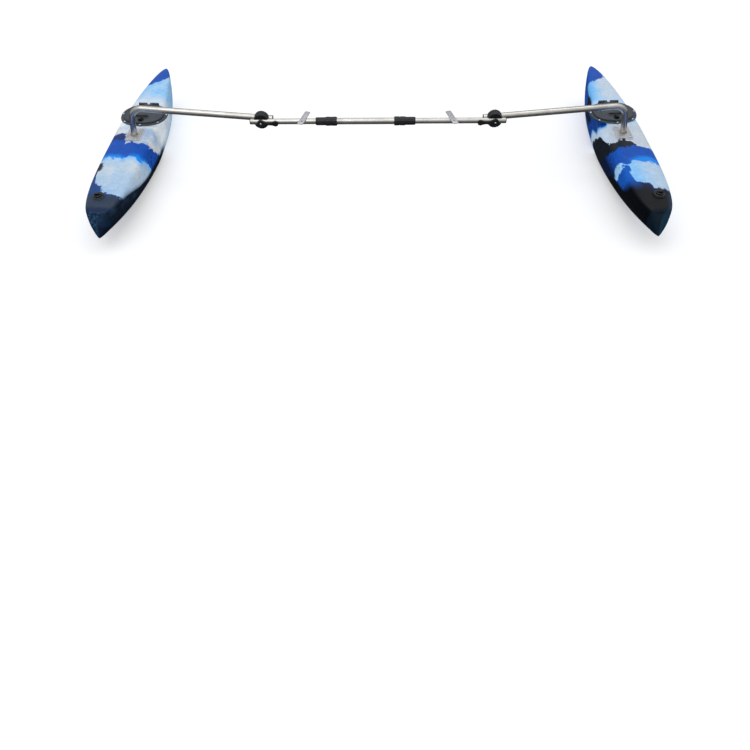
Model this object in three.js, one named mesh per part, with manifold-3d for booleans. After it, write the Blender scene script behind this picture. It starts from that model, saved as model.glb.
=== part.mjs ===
// A pair of outrigger floats on a telescoping crossbar.
// Millimetres, +Z up, -Y towards the bow, +X to the right when looking along +Y.
// The origin is on the ground under the middle, with both floats standing on it.
// Every side piece is drawn for the right side, with x pointing outboard, and mirrored for the left.

import * as THREE from 'three';
import { mergeVertices } from 'three/addons/utils/BufferGeometryUtils.js';
import Module from 'manifold-3d';

const wasm = await Module();
wasm.setup();

// Clearances
const SEAT_GAP = 0.3;
const SLIDE_GAP = 0.4;
const CUT_OVERRUN = 2;

// Facets of the round pieces
const TUBE_SIDES = 16;
const BARREL_SIDES = 12;
const SCREW_SIDES = 10;
const OVAL_SIDES = 32;

// Crossbar tubes
const CENTRE_TUBE_RADIUS = 12.5;
const INNER_TUBE_RADIUS = 11;
const TUBE_WALL = 1.1;
const CENTRE_TUBE_LEFT_END = 210;
const CENTRE_TUBE_RIGHT_END = 110;
const INNER_TUBES_APART = 76;
const PIVOT_FROM_CENTRE = 475;
const TUBE_END_FROM_PIVOT = 43;
const PLUG_FLANGE = 2.5;
const PLUG_STEM = 18;

// Twist-lock coupler, measured outboard from the end of the centre tube
const COUPLER_BODY_RADIUS = 17.5;
const COUPLER_BODY_LENGTH = 44;
const COUPLER_SHOULDER = 3;
const COUPLER_NOSE_RADIUS = 13.6;
const COUPLER_NOSE_LENGTH = 21;
const COUPLER_NUT_RADIUS = 15.6;
const COUPLER_NUT_LENGTH = 39;
const COUPLER_NUT_LIP = 6;
const COUPLER_RIB_DEPTH = 1;
const COUPLER_RIBS = 12;
const COLLET_SLIT = 2;
const CASTLE_NOTCHES = 6;
const CASTLE_NOTCH_WIDTH = 5;
const CASTLE_NOTCH_DEPTH = 4;

// Hold-down strap over the inner tube
const STRAP_FROM_CENTRE = 300;
const STRAP_LENGTH = 97;
const STRAP_WIDTH = 23;
const STRAP_THICKNESS = 2.5;
const STRAP_CORNER = 4;
const STRAP_AFT_SHIFT = 4;
const STRAP_TURN_DEGREES = 16;
const STRAP_HOLE_RADIUS = 3.25;
const STRAP_HOLE_FROM_MIDDLE = 25;
const STRAP_SCREW_RADIUS = 2.4;
const STRAP_SCREW_HEAD_RADIUS = 4.6;
const STRAP_SCREW_HEAD_HEIGHT = 3;

// Swivel knuckle with its bolt and clamp lever
const KNUCKLE_RADIUS = 31;
const KNUCKLE_RIB_DEPTH = 1.3;
const KNUCKLE_RIBS = 18;
const KNUCKLE_FACE = 13.9;
const KNUCKLE_FRONT_LIP = 3;
const KNUCKLE_BACK_LIP = 2;
const BOLT_RADIUS = 4;
const BOLT_HEAD_RADIUS = 7.5;
const BOLT_HEAD_HEIGHT = 5.3;
const BOLT_SHOWS = 2;
const WASHER_RADIUS = 9;
const WASHER_THICKNESS = 1.6;
const LEVER_THICKNESS = 9;
const LEVER_HEAD_RADIUS = 15;
const LEVER_NECK_WIDTH = 13;
const LEVER_BULB_RADIUS = 11.5;
const LEVER_BULB_FROM_PIVOT = 60;

// Bent arm tube and the base plate welded under its leg
const ARM_TUBE_RADIUS = 12.5;
const ARM_PLANE_AFT = 29;
const ARM_RISE_DEGREES = 5;
const ARM_RUN = 527;
const ARM_BEND_RADIUS = 48;
const ARM_BEND_STEPS = 6;
const LEG_LENGTH = 120;
const LEG_LEAN_DEGREES = 5;
const PLATE_WIDTH = 60;
const PLATE_LENGTH = 88;
const PLATE_THICKNESS = 3;
const PLATE_CORNER = 5;
const PLATE_SCREW_ACROSS = 18;
const PLATE_SCREW_ALONG = 38;
const PLATE_SCREW_RADIUS = 2.4;
const PLATE_SCREW_LENGTH = 16;
const PLATE_SCREW_HEAD_RADIUS = 5;
const PLATE_SCREW_HEAD_HEIGHT = 2.6;

// Float hull, with its places measured from the middle of the base plate
const FLOAT_TOE_OUT_DEGREES = 2.85;
const HULL_HALF_LENGTH = 541;
const HULL_HALF_BEAM = 87;
const HULL_CROWN = 11;
const HULL_DEPTH = 160;
const HULL_WALL = 3.5;
const HULL_END_WALL = 24;
const HULL_CREST_BELOW_PLATE = 6.5;
const HULL_OUTBOARD_SHIFT = 14;
const HULL_AFT_SHIFT = 43;
const HULL_STATIONS = 30;
const HULL_AROUND = 28;
const BAY_STATIONS = 18;
const BAY_AROUND = 16;
const BOW_NOSE_HALF_WIDTH = 27;
const BOW_RAKE = 44;
const BOW_FOOT_SHARE = 0.565;
const BOW_PLAN_POWER = 3.6;
const STERN_PLAN_POWER = 1.5;
const PLAN_FULLNESS_POWER = 0.58;
const BOW_KEEL_POWER = 1.4;
const STERN_KEEL_POWER = 6;
const CROWN_FADE_POWER = 4;
const BOW_RAKE_POWER = 4;
const DECK_ROUNDNESS_POWER = 2.5;
const MIDDLE_ROUNDNESS_POWER = 4.6;
const BOW_ROUNDNESS_POWER = 1.8;
const STERN_ROUNDNESS_POWER = 1.8;
const PAD_MARGIN = 4;
const PAD_DEPTH = 9;

// Hatch, with its outline as ovals of half-width by half-length
const HATCH_INBOARD_SHIFT = 3;
const HATCH_AFT_SHIFT = 152;
const HATCH_OVAL_POWER = 2.3;
const HATCH_SEAT_RISE = 0.8;
const HATCH_SEAT_DEPTH = 13;
const HATCH_SEAT_MARGIN = 1;
const RING_HALF_WIDTH = 100;
const RING_HALF_LENGTH = 82;
const RING_THICKNESS = 4.5;
const BORE_HALF_WIDTH = 76;
const BORE_HALF_LENGTH = 62;
const COLLAR_WALL = 3.2;
const COLLAR_DEPTH = 8;
const GASKET_INSET = 3;
const GASKET_WIDTH = 3;
const GASKET_HEIGHT = 2;
const LID_HALF_WIDTH = 87;
const LID_HALF_LENGTH = 72;
const LID_THICKNESS = 6.6;
const LID_PANEL = 3.8;
const LID_SKIRT_WALL = 3;
const LID_PLUG_WALL = 3;
const LID_PLUG_DEPTH = 9;
const LID_PLUG_GAP = 1.5;

// Hatch hinge on the stern side of the lid
const HINGE_AFT = 77;
const HINGE_PIN_RADIUS = 2;
const HINGE_PIN_HEIGHT = 6.2;
const HINGE_BARREL_RADIUS = 5.4;
const HINGE_EAR_FROM_MIDDLE = 31;
const HINGE_EAR_WIDTH = 24;
const HINGE_BASE_LENGTH = 10.8;

// Latch on the bow side of the lid
const LATCH_FORWARD = 55;
const LATCH_SHAFT_RADIUS = 5.6;
const LATCH_HEAD_RADIUS = 11;
const LATCH_HEAD_HEIGHT = 1.4;
const LATCH_EAR_HEIGHT = 7;
const LATCH_EAR_THICKNESS = 2.6;
const LATCH_PIN_RADIUS = 1.5;
const LATCH_PIN_FORWARD = 4;
const LATCH_TONGUE_WIDTH = 6;
const LATCH_TONGUE_LENGTH = 9.6;
const LATCH_TONGUE_THICKNESS = 3;
const HANDLE_STEM_WIDTH = 9;
const HANDLE_STEM_LENGTH = 28;
const HANDLE_THICKNESS = 3.8;
const HANDLE_BAR_LENGTH = 54;
const HANDLE_BAR_WIDTH = 9;
const HANDLE_BARREL_RADIUS = 3;

// Drain fitting on the bow deck
const DRAIN_OUTBOARD_SHIFT = 28;
const DRAIN_FROM_BOW = 91;
const DRAIN_TILT_DEGREES = 3;
const DRAIN_BOSS_RADIUS = 25;
const DRAIN_BOSS_DEPTH = 14;
const DRAIN_BOSS_RISE = 1.5;
const DRAIN_FLANGE_RADIUS = 22;
const DRAIN_FLANGE_THICKNESS = 3;
const DRAIN_SLEEVE_RADIUS = 13.5;
const DRAIN_SLEEVE_WALL = 2.9;
const DRAIN_SLEEVE_LENGTH = 14;
const DRAIN_CAP_RADIUS = 15;
const DRAIN_CAP_HEIGHT = 4;
const DRAIN_GRIP_LENGTH = 25;
const DRAIN_GRIP_WIDTH = 6;
const DRAIN_GRIP_HEIGHT = 4;
const DRAIN_SEAL_RADIUS = 14.2;
const DRAIN_SEAL_WIDTH = 2;
const DRAIN_SEAL_HEIGHT = 1.4;

const radians = THREE.MathUtils.degToRad;

// Materials, each piece getting a copy of its own
const FINISHES = {
  steel: { color: 0xc9ccd0, roughness: 0.25, metalness: 1 },
  blackPlastic: { color: 0x17191b, roughness: 0.5, metalness: 0 },
  hatchPlastic: { color: 0x3d444c, roughness: 0.45, metalness: 0 },
  floatPlastic: { color: 0x5b90cc, roughness: 0.4, metalness: 0 },
  rubber: { color: 0x0c0d0e, roughness: 0.8, metalness: 0 },
};

// Joining and cutting of closed shapes
function toSolid(geometry) {
  const bare = geometry.clone();
  bare.deleteAttribute('normal');
  bare.deleteAttribute('uv');
  const merged = mergeVertices(bare);
  const corners = [];
  for (let first = 0; first < merged.index.count; first += 3) {
    const a = merged.index.getX(first);
    const b = merged.index.getX(first + 1);
    const c = merged.index.getX(first + 2);
    if (a !== b && b !== c && c !== a) corners.push(a, b, c);
  }
  return new wasm.Manifold(new wasm.Mesh({
    numProp: 3,
    vertProperties: new Float32Array(merged.attributes.position.array),
    triVerts: new Uint32Array(corners),
  }));
}

function toGeometry(solid) {
  const { vertProperties, triVerts } = solid.getMesh();
  const geometry = new THREE.BufferGeometry();
  geometry.setAttribute('position', new THREE.BufferAttribute(new Float32Array(vertProperties), 3));
  geometry.setIndex(new THREE.BufferAttribute(new Uint32Array(triVerts), 1));
  geometry.computeVertexNormals();
  return geometry;
}

function join(first, ...others) {
  let solid = toSolid(first);
  for (const other of others) solid = solid.add(toSolid(other));
  return toGeometry(solid);
}

function cut(base, ...tools) {
  let solid = toSolid(base);
  for (const tool of tools) solid = solid.subtract(toSolid(tool));
  return toGeometry(solid);
}

// Basic shapes, each with its low end or face at zero along its own axis
function rodX(radius, length, sides = TUBE_SIDES) {
  const rod = new THREE.CylinderGeometry(radius, radius, length, sides);
  rod.rotateZ(-Math.PI / 2);
  return rod.translate(length / 2, 0, 0);
}

function rodY(radius, length, sides = TUBE_SIDES) {
  const rod = new THREE.CylinderGeometry(radius, radius, length, sides);
  return rod.translate(0, length / 2, 0);
}

function rodZ(radius, length, sides = TUBE_SIDES) {
  const rod = new THREE.CylinderGeometry(radius, radius, length, sides);
  rod.rotateX(Math.PI / 2);
  return rod.translate(0, 0, length / 2);
}

function block(width, length, height) {
  return new THREE.BoxGeometry(width, length, height).translate(0, 0, height / 2);
}

function slab(shape, thickness) {
  return new THREE.ExtrudeGeometry(shape, { depth: thickness, bevelEnabled: false, curveSegments: 4 });
}

function pipeX(outerRadius, innerRadius, length) {
  const bore = rodX(innerRadius, length + 2 * CUT_OVERRUN).translate(-CUT_OVERRUN, 0, 0);
  return cut(rodX(outerRadius, length), bore);
}

function ringZ(outerRadius, innerRadius, height) {
  const bore = rodZ(innerRadius, height + 2 * CUT_OVERRUN).translate(0, 0, -CUT_OVERRUN);
  return cut(rodZ(outerRadius, height), bore);
}

// Outlines
function ovalShape(halfWidth, halfLength, power = HATCH_OVAL_POWER, sides = OVAL_SIDES) {
  const points = [];
  for (let k = 0; k < sides; k += 1) {
    const angle = (2 * Math.PI * k) / sides;
    const c = Math.cos(angle);
    const s = Math.sin(angle);
    const x = halfWidth * Math.sign(c) * Math.abs(c) ** (2 / power);
    const y = halfLength * Math.sign(s) * Math.abs(s) ** (2 / power);
    points.push(new THREE.Vector2(x, y));
  }
  return new THREE.Shape(points);
}

function ovalSlab(halfWidth, halfLength, thickness) {
  return slab(ovalShape(halfWidth, halfLength), thickness);
}

function ovalRing(halfWidth, halfLength, wall, thickness) {
  const shape = ovalShape(halfWidth, halfLength);
  shape.holes.push(ovalShape(halfWidth - wall, halfLength - wall));
  return slab(shape, thickness);
}

function ribbedShape(radius, ribDepth, ribs) {
  const points = [];
  const step = (2 * Math.PI) / ribs;
  const corners = [[0, radius], [0.4, radius], [0.55, radius - ribDepth], [0.85, radius - ribDepth]];
  for (let rib = 0; rib < ribs; rib += 1) {
    for (const [share, reach] of corners) {
      const angle = (rib + share) * step;
      points.push(new THREE.Vector2(reach * Math.cos(angle), reach * Math.sin(angle)));
    }
  }
  return new THREE.Shape(points);
}

function roundedRectangle(width, length, corner) {
  const right = width / 2 - corner;
  const back = length / 2 - corner;
  const shape = new THREE.Shape();
  shape.absarc(right, back, corner, 0, Math.PI / 2);
  shape.absarc(-right, back, corner, Math.PI / 2, Math.PI);
  shape.absarc(-right, -back, corner, Math.PI, 1.5 * Math.PI);
  shape.absarc(right, -back, corner, 1.5 * Math.PI, 2 * Math.PI);
  return shape;
}

// A round pipe whose centre line lies in the xz plane, from a list of points and directions
function bentPipe(stations, outerRadius, innerRadius, sides = TUBE_SIDES) {
  const positions = [];
  const corners = [];
  for (const { point, direction } of stations) {
    const across = new THREE.Vector3(-direction.z, 0, direction.x);
    for (const radius of [outerRadius, innerRadius]) {
      for (let k = 0; k < sides; k += 1) {
        const angle = (2 * Math.PI * k) / sides;
        const vertex = point.clone();
        vertex.addScaledVector(across, radius * Math.cos(angle));
        vertex.y += radius * Math.sin(angle);
        positions.push(vertex.x, vertex.y, vertex.z);
      }
    }
  }
  const at = (station, layer, k) => (2 * station + layer) * sides + (k % sides);
  const quad = (a, b, c, d) => corners.push(a, c, b, a, d, c);
  const last = stations.length - 1;
  for (let k = 0; k < sides; k += 1) {
    for (let i = 0; i < last; i += 1) {
      quad(at(i, 0, k), at(i, 0, k + 1), at(i + 1, 0, k + 1), at(i + 1, 0, k));
      quad(at(i, 1, k), at(i + 1, 1, k), at(i + 1, 1, k + 1), at(i, 1, k + 1));
    }
    quad(at(0, 0, k), at(0, 1, k), at(0, 1, k + 1), at(0, 0, k + 1));
    quad(at(last, 0, k), at(last, 0, k + 1), at(last, 1, k + 1), at(last, 1, k));
  }
  const geometry = new THREE.BufferGeometry();
  geometry.setAttribute('position', new THREE.Float32BufferAttribute(positions, 3));
  geometry.setIndex(corners);
  return geometry;
}

// Crossbar pieces, drawn along x from the boat's middle outwards
const INNER_TUBE_START = INNER_TUBES_APART / 2;
const INNER_TUBE_END = PIVOT_FROM_CENTRE + TUBE_END_FROM_PIVOT;
const INNER_TUBE_LENGTH = INNER_TUBE_END - INNER_TUBE_START;

function tubePlug(tubeRadius) {
  const stem = rodX(tubeRadius - TUBE_WALL - SEAT_GAP, PLUG_STEM + SEAT_GAP + PLUG_FLANGE / 2);
  stem.translate(-PLUG_STEM - SEAT_GAP, 0, 0);
  return join(rodX(tubeRadius, PLUG_FLANGE), stem);
}

function innerTube() {
  const tube = pipeX(INNER_TUBE_RADIUS, INNER_TUBE_RADIUS - TUBE_WALL, INNER_TUBE_LENGTH);
  const boltHole = rodY(BOLT_RADIUS + SEAT_GAP, 4 * INNER_TUBE_RADIUS, SCREW_SIDES);
  boltHole.translate(INNER_TUBE_LENGTH - TUBE_END_FROM_PIVOT, -2 * INNER_TUBE_RADIUS, 0);
  return cut(tube, boltHole);
}

function ribbedBarX(radius, length, ribs = COUPLER_RIBS) {
  const bar = slab(ribbedShape(radius, COUPLER_RIB_DEPTH, ribs), length);
  return bar.rotateY(Math.PI / 2);
}

function couplerBody() {
  const sleeve = ribbedBarX(COUPLER_BODY_RADIUS, COUPLER_BODY_LENGTH);
  sleeve.translate(-COUPLER_BODY_LENGTH, 0, 0);
  const shoulder = rodX(COUPLER_BODY_RADIUS - COUPLER_RIB_DEPTH, 2 * COUPLER_SHOULDER);
  shoulder.translate(-COUPLER_SHOULDER, 0, 0);
  const nose = rodX(COUPLER_NOSE_RADIUS, COUPLER_SHOULDER + COUPLER_NOSE_LENGTH);
  const seat = rodX(CENTRE_TUBE_RADIUS + SEAT_GAP, COUPLER_BODY_LENGTH + CUT_OVERRUN + SEAT_GAP);
  seat.translate(-COUPLER_BODY_LENGTH - CUT_OVERRUN, 0, 0);
  const bore = rodX(INNER_TUBE_RADIUS + SLIDE_GAP, 2 * COUPLER_BODY_LENGTH);
  return cut(join(sleeve, shoulder, nose), seat, bore);
}

function couplerNut() {
  const start = COUPLER_SHOULDER + SEAT_GAP;
  const cavityEnd = COUPLER_NUT_LENGTH - COUPLER_NUT_LIP;
  const shell = ribbedBarX(COUPLER_NUT_RADIUS, COUPLER_NUT_LENGTH);
  const cavity = rodX(COUPLER_NOSE_RADIUS + SLIDE_GAP, cavityEnd + CUT_OVERRUN);
  cavity.translate(-CUT_OVERRUN, 0, 0);
  const mouth = rodX(INNER_TUBE_RADIUS + SLIDE_GAP, COUPLER_NUT_LENGTH + CUT_OVERRUN);
  const notches = [];
  for (let k = 0; k < CASTLE_NOTCHES; k += 1) {
    const notch = block(2 * CASTLE_NOTCH_DEPTH, CASTLE_NOTCH_WIDTH, COUPLER_NUT_RADIUS);
    notch.translate(0, 0, COUPLER_NOSE_RADIUS - SEAT_GAP);
    notches.push(notch.rotateX((2 * Math.PI * k) / CASTLE_NOTCHES));
  }
  return cut(shell, cavity, mouth, ...notches).translate(start, 0, 0);
}

function couplerCollet() {
  const start = COUPLER_SHOULDER + COUPLER_NOSE_LENGTH + SEAT_GAP;
  const nutCavityEnd = COUPLER_SHOULDER + SEAT_GAP + COUPLER_NUT_LENGTH - COUPLER_NUT_LIP;
  const length = nutCavityEnd - SEAT_GAP - start;
  const sleeve = pipeX(COUPLER_NOSE_RADIUS, INNER_TUBE_RADIUS + SEAT_GAP, length);
  const slit = block(length + 2 * CUT_OVERRUN, COLLET_SLIT, 2 * COUPLER_NOSE_RADIUS);
  return cut(sleeve, slit.translate(length / 2, 0, 0)).translate(start, 0, 0);
}

function holdDownStrap() {
  const shape = roundedRectangle(STRAP_WIDTH, STRAP_LENGTH, STRAP_CORNER);
  const holes = [];
  for (const along of [-STRAP_HOLE_FROM_MIDDLE, STRAP_HOLE_FROM_MIDDLE]) {
    const hole = rodZ(STRAP_HOLE_RADIUS, STRAP_THICKNESS + 2 * CUT_OVERRUN, BARREL_SIDES);
    holes.push(hole.translate(0, along, -CUT_OVERRUN));
  }
  const screwHole = rodZ(STRAP_SCREW_RADIUS + SEAT_GAP, STRAP_THICKNESS + 2 * CUT_OVERRUN, SCREW_SIDES);
  return cut(slab(shape, STRAP_THICKNESS), ...holes, screwHole.translate(0, 0, -CUT_OVERRUN));
}

function strapScrew() {
  const head = rodZ(STRAP_SCREW_HEAD_RADIUS, STRAP_SCREW_HEAD_HEIGHT, BARREL_SIDES);
  head.translate(0, 0, STRAP_THICKNESS + SEAT_GAP);
  const shank = rodZ(STRAP_SCREW_RADIUS, STRAP_THICKNESS + 2 * SEAT_GAP, SCREW_SIDES);
  return join(head, shank);
}

// Knuckle pieces, drawn about the pivot, with y measured from the axis of the inner tube
const TURN_TO_Y = -Math.PI / 2;

function knuckleDisc(from, to, tubeRadius, tubeAft) {
  const disc = slab(ribbedShape(KNUCKLE_RADIUS, KNUCKLE_RIB_DEPTH, KNUCKLE_RIBS), to - from);
  disc.rotateX(TURN_TO_Y).translate(0, from, 0);
  const groove = rodX(tubeRadius + SEAT_GAP, 4 * KNUCKLE_RADIUS);
  groove.translate(-2 * KNUCKLE_RADIUS, tubeAft, 0);
  const boltHole = rodY(BOLT_RADIUS + SEAT_GAP, 4 * KNUCKLE_RADIUS, SCREW_SIDES);
  boltHole.translate(0, -2 * KNUCKLE_RADIUS, 0);
  return cut(disc, groove, boltHole);
}

function knuckleInnerHalf() {
  return knuckleDisc(-KNUCKLE_FRONT_LIP, KNUCKLE_FACE - SEAT_GAP / 2, INNER_TUBE_RADIUS, 0);
}

function knuckleOuterHalf() {
  const back = ARM_PLANE_AFT + KNUCKLE_BACK_LIP;
  return knuckleDisc(KNUCKLE_FACE + SEAT_GAP / 2, back, ARM_TUBE_RADIUS, ARM_PLANE_AFT);
}

const WASHER_FRONT = ARM_PLANE_AFT + ARM_TUBE_RADIUS + SEAT_GAP;
const LEVER_BACK = INNER_TUBE_RADIUS + SEAT_GAP;
const LEVER_FRONT = LEVER_BACK + LEVER_THICKNESS;

function pivotBolt() {
  const headFront = WASHER_FRONT + WASHER_THICKNESS + SEAT_GAP;
  const shankStart = -LEVER_FRONT - BOLT_SHOWS;
  const shank = rodY(BOLT_RADIUS, headFront - shankStart, SCREW_SIDES);
  shank.translate(0, shankStart, 0);
  const head = rodY(BOLT_HEAD_RADIUS, BOLT_HEAD_HEIGHT, 6);
  return join(head.translate(0, headFront, 0), shank);
}

function pivotWasher() {
  const washer = rodY(WASHER_RADIUS, WASHER_THICKNESS, BARREL_SIDES);
  const hole = rodY(BOLT_RADIUS + SEAT_GAP, WASHER_THICKNESS + 2 * CUT_OVERRUN, SCREW_SIDES);
  return cut(washer, hole.translate(0, -CUT_OVERRUN, 0)).translate(0, WASHER_FRONT, 0);
}

function clampLever() {
  const head = rodY(LEVER_HEAD_RADIUS, LEVER_THICKNESS, TUBE_SIDES);
  const bulb = rodY(LEVER_BULB_RADIUS, LEVER_THICKNESS, TUBE_SIDES);
  bulb.translate(-LEVER_BULB_FROM_PIVOT, 0, 0);
  const neck = new THREE.BoxGeometry(LEVER_BULB_FROM_PIVOT, LEVER_THICKNESS, LEVER_NECK_WIDTH);
  neck.translate(-LEVER_BULB_FROM_PIVOT / 2, LEVER_THICKNESS / 2, 0);
  const hole = rodY(BOLT_RADIUS + SEAT_GAP, LEVER_THICKNESS + 2 * CUT_OVERRUN, SCREW_SIDES);
  const lever = cut(join(head, bulb, neck), hole.translate(0, -CUT_OVERRUN, 0));
  return lever.translate(0, -LEVER_FRONT, 0);
}

// Arm pieces, drawn about the pivot in the plane of the arm
const LEG_LEAN = radians(LEG_LEAN_DEGREES);
const LEVEL_TURN = radians(ARM_RISE_DEGREES);
const FOOT = new THREE.Vector3(
  ARM_RUN + LEG_LENGTH * Math.sin(LEG_LEAN),
  0,
  -LEG_LENGTH * Math.cos(LEG_LEAN),
);

function armStations() {
  const along = new THREE.Vector3(1, 0, 0);
  const down = new THREE.Vector3(Math.sin(LEG_LEAN), 0, -Math.cos(LEG_LEAN));
  const turn = Math.PI / 2 - LEG_LEAN;
  const tangent = ARM_BEND_RADIUS * Math.tan(turn / 2);
  const centre = new THREE.Vector3(ARM_RUN - tangent, 0, -ARM_BEND_RADIUS);
  const stations = [{ point: new THREE.Vector3(-TUBE_END_FROM_PIVOT, 0, 0), direction: along }];
  for (let k = 0; k <= ARM_BEND_STEPS; k += 1) {
    const angle = (turn * k) / ARM_BEND_STEPS;
    const direction = new THREE.Vector3(Math.cos(angle), 0, -Math.sin(angle));
    const outward = new THREE.Vector3(Math.sin(angle), 0, Math.cos(angle));
    stations.push({ point: centre.clone().addScaledVector(outward, ARM_BEND_RADIUS), direction });
  }
  stations.push({ point: FOOT.clone().addScaledVector(down, ARM_TUBE_RADIUS), direction: down });
  return stations;
}

function armTube() {
  const tube = bentPipe(armStations(), ARM_TUBE_RADIUS, ARM_TUBE_RADIUS - TUBE_WALL);
  const boltHole = rodY(BOLT_RADIUS + SEAT_GAP, 4 * ARM_TUBE_RADIUS, SCREW_SIDES);
  const belowPlate = block(PLATE_WIDTH, PLATE_LENGTH, 4 * ARM_TUBE_RADIUS);
  belowPlate.translate(0, 0, SEAT_GAP - 4 * ARM_TUBE_RADIUS);
  belowPlate.rotateY(LEVEL_TURN).translate(...FOOT.toArray());
  return cut(tube, boltHole.translate(0, -2 * ARM_TUBE_RADIUS, 0), belowPlate);
}

const PLATE_SCREW_PLACES = [
  [PLATE_SCREW_ACROSS, PLATE_SCREW_ALONG],
  [-PLATE_SCREW_ACROSS, PLATE_SCREW_ALONG],
  [-PLATE_SCREW_ACROSS, -PLATE_SCREW_ALONG],
  [PLATE_SCREW_ACROSS, -PLATE_SCREW_ALONG],
];

function basePlate() {
  const plate = slab(roundedRectangle(PLATE_WIDTH, PLATE_LENGTH, PLATE_CORNER), PLATE_THICKNESS);
  const holes = PLATE_SCREW_PLACES.map(([across, along]) => {
    const hole = rodZ(PLATE_SCREW_RADIUS + SEAT_GAP, PLATE_THICKNESS + 2 * CUT_OVERRUN, SCREW_SIDES);
    return hole.translate(across, along, -CUT_OVERRUN);
  });
  return cut(plate, ...holes).translate(0, 0, -PLATE_THICKNESS);
}

function plateScrew() {
  const head = rodZ(PLATE_SCREW_HEAD_RADIUS, PLATE_SCREW_HEAD_HEIGHT, BARREL_SIDES);
  const shankLength = PLATE_SCREW_LENGTH + SEAT_GAP + PLATE_SCREW_HEAD_HEIGHT / 2;
  const shank = rodZ(PLATE_SCREW_RADIUS, shankLength, SCREW_SIDES);
  shank.translate(0, 0, -PLATE_SCREW_LENGTH - SEAT_GAP);
  return join(head, shank).translate(0, 0, SEAT_GAP);
}

// Float hull, drawn about its own middle at the height of the sheer line
function mix(from, to, share) {
  return from + (to - from) * share;
}

function hullStation(share, size) {
  const reach = Math.abs(share);
  const bow = share < 0;
  const planPower = bow ? BOW_PLAN_POWER : STERN_PLAN_POWER;
  const fullness = (1 - reach ** planPower) ** PLAN_FULLNESS_POWER;
  const endRoundness = bow ? BOW_ROUNDNESS_POWER : STERN_ROUNDNESS_POWER;
  return {
    beam: mix(bow ? size.nose : 0, size.halfBeam, fullness),
    rise: size.crown * (1 - reach ** CROWN_FADE_POWER),
    draft: size.depth * (bow ? mix(1, BOW_FOOT_SHARE, reach ** BOW_KEEL_POWER) : 1 - reach ** STERN_KEEL_POWER),
    roundness: mix(MIDDLE_ROUNDNESS_POWER, endRoundness, reach ** 2),
    rake: bow ? size.rake * reach ** BOW_RAKE_POWER : 0,
  };
}

const HULL_SIZE = {
  halfLength: HULL_HALF_LENGTH,
  halfBeam: HULL_HALF_BEAM,
  crown: HULL_CROWN,
  depth: HULL_DEPTH,
  nose: BOW_NOSE_HALF_WIDTH,
  rake: BOW_RAKE,
};
const BAY_SIZE = {
  halfLength: HULL_HALF_LENGTH - HULL_END_WALL,
  halfBeam: HULL_HALF_BEAM - HULL_WALL,
  crown: HULL_CROWN - HULL_WALL,
  depth: HULL_DEPTH - HULL_WALL,
  nose: BOW_NOSE_HALF_WIDTH - HULL_WALL,
  rake: BOW_RAKE,
};

function deckHeight(across, along) {
  const station = hullStation(along / HULL_HALF_LENGTH, HULL_SIZE);
  const side = Math.abs(across) / station.beam;
  const roundness = (1 - side ** DECK_ROUNDNESS_POWER) ** (1 / DECK_ROUNDNESS_POWER);
  return station.rise * roundness;
}

function hullBody(size, stations, around) {
  const positions = [];
  const corners = [];
  for (let i = 0; i <= stations; i += 1) {
    const share = Math.sin(Math.PI * (i / stations - 0.5));
    const { beam, rise, draft, roundness, rake } = hullStation(share, size);
    for (let j = 0; j < around; j += 1) {
      const angle = (2 * Math.PI * j) / around;
      const c = Math.cos(angle);
      const s = Math.sin(angle);
      const power = 2 / (s > 0 ? DECK_ROUNDNESS_POWER : roundness);
      const level = Math.abs(s) ** power;
      const across = beam * Math.sign(c) * Math.abs(c) ** power;
      const along = size.halfLength * share - (s > 0 ? 0 : rake * level);
      positions.push(across, along, (s > 0 ? rise : -draft) * level);
    }
  }
  const at = (i, j) => i * around + (j % around);
  for (let i = 0; i < stations; i += 1) {
    for (let j = 0; j < around; j += 1) {
      corners.push(at(i, j), at(i + 1, j), at(i + 1, j + 1));
      corners.push(at(i, j), at(i + 1, j + 1), at(i, j + 1));
    }
  }
  for (let j = 1; j < around - 1; j += 1) corners.push(at(0, 0), at(0, j), at(0, j + 1));
  const geometry = new THREE.BufferGeometry();
  geometry.setAttribute('position', new THREE.Float32BufferAttribute(positions, 3));
  geometry.setIndex(corners);
  return geometry;
}

// Places on the float, from the middle of the base plate's top
const HULL_PLACE = new THREE.Vector3(
  HULL_OUTBOARD_SHIFT,
  HULL_AFT_SHIFT,
  -HULL_CREST_BELOW_PLATE - HULL_CROWN,
);
const HATCH_SEAT_HEIGHT = -HULL_CREST_BELOW_PLATE + HATCH_SEAT_RISE;
const HATCH_PLACE = new THREE.Vector3(-HATCH_INBOARD_SHIFT, HATCH_AFT_SHIFT, HATCH_SEAT_HEIGHT);
const DRAIN_ALONG_HULL = DRAIN_FROM_BOW - HULL_HALF_LENGTH;
const DRAIN_PLACE = new THREE.Vector3(
  DRAIN_OUTBOARD_SHIFT,
  HULL_PLACE.y + DRAIN_ALONG_HULL,
  HULL_PLACE.z + deckHeight(DRAIN_OUTBOARD_SHIFT - HULL_PLACE.x, DRAIN_ALONG_HULL),
);
const DRAIN_TILT = radians(DRAIN_TILT_DEGREES);

function platePad() {
  const width = PLATE_WIDTH + 2 * PAD_MARGIN;
  const length = PLATE_LENGTH + 2 * PAD_MARGIN;
  const pad = slab(roundedRectangle(width, length, PLATE_CORNER + PAD_MARGIN), PAD_DEPTH);
  return pad.translate(0, 0, -PLATE_THICKNESS - SEAT_GAP - PAD_DEPTH);
}

function padScrewHoles() {
  return PLATE_SCREW_PLACES.map(([across, along]) => {
    const hole = rodZ(PLATE_SCREW_RADIUS + SEAT_GAP, PLATE_SCREW_LENGTH + CUT_OVERRUN, SCREW_SIDES);
    return hole.translate(across, along, -PLATE_SCREW_LENGTH - SEAT_GAP);
  });
}

function onDrain(geometry) {
  return geometry.rotateY(DRAIN_TILT).translate(...DRAIN_PLACE.toArray());
}

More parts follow.
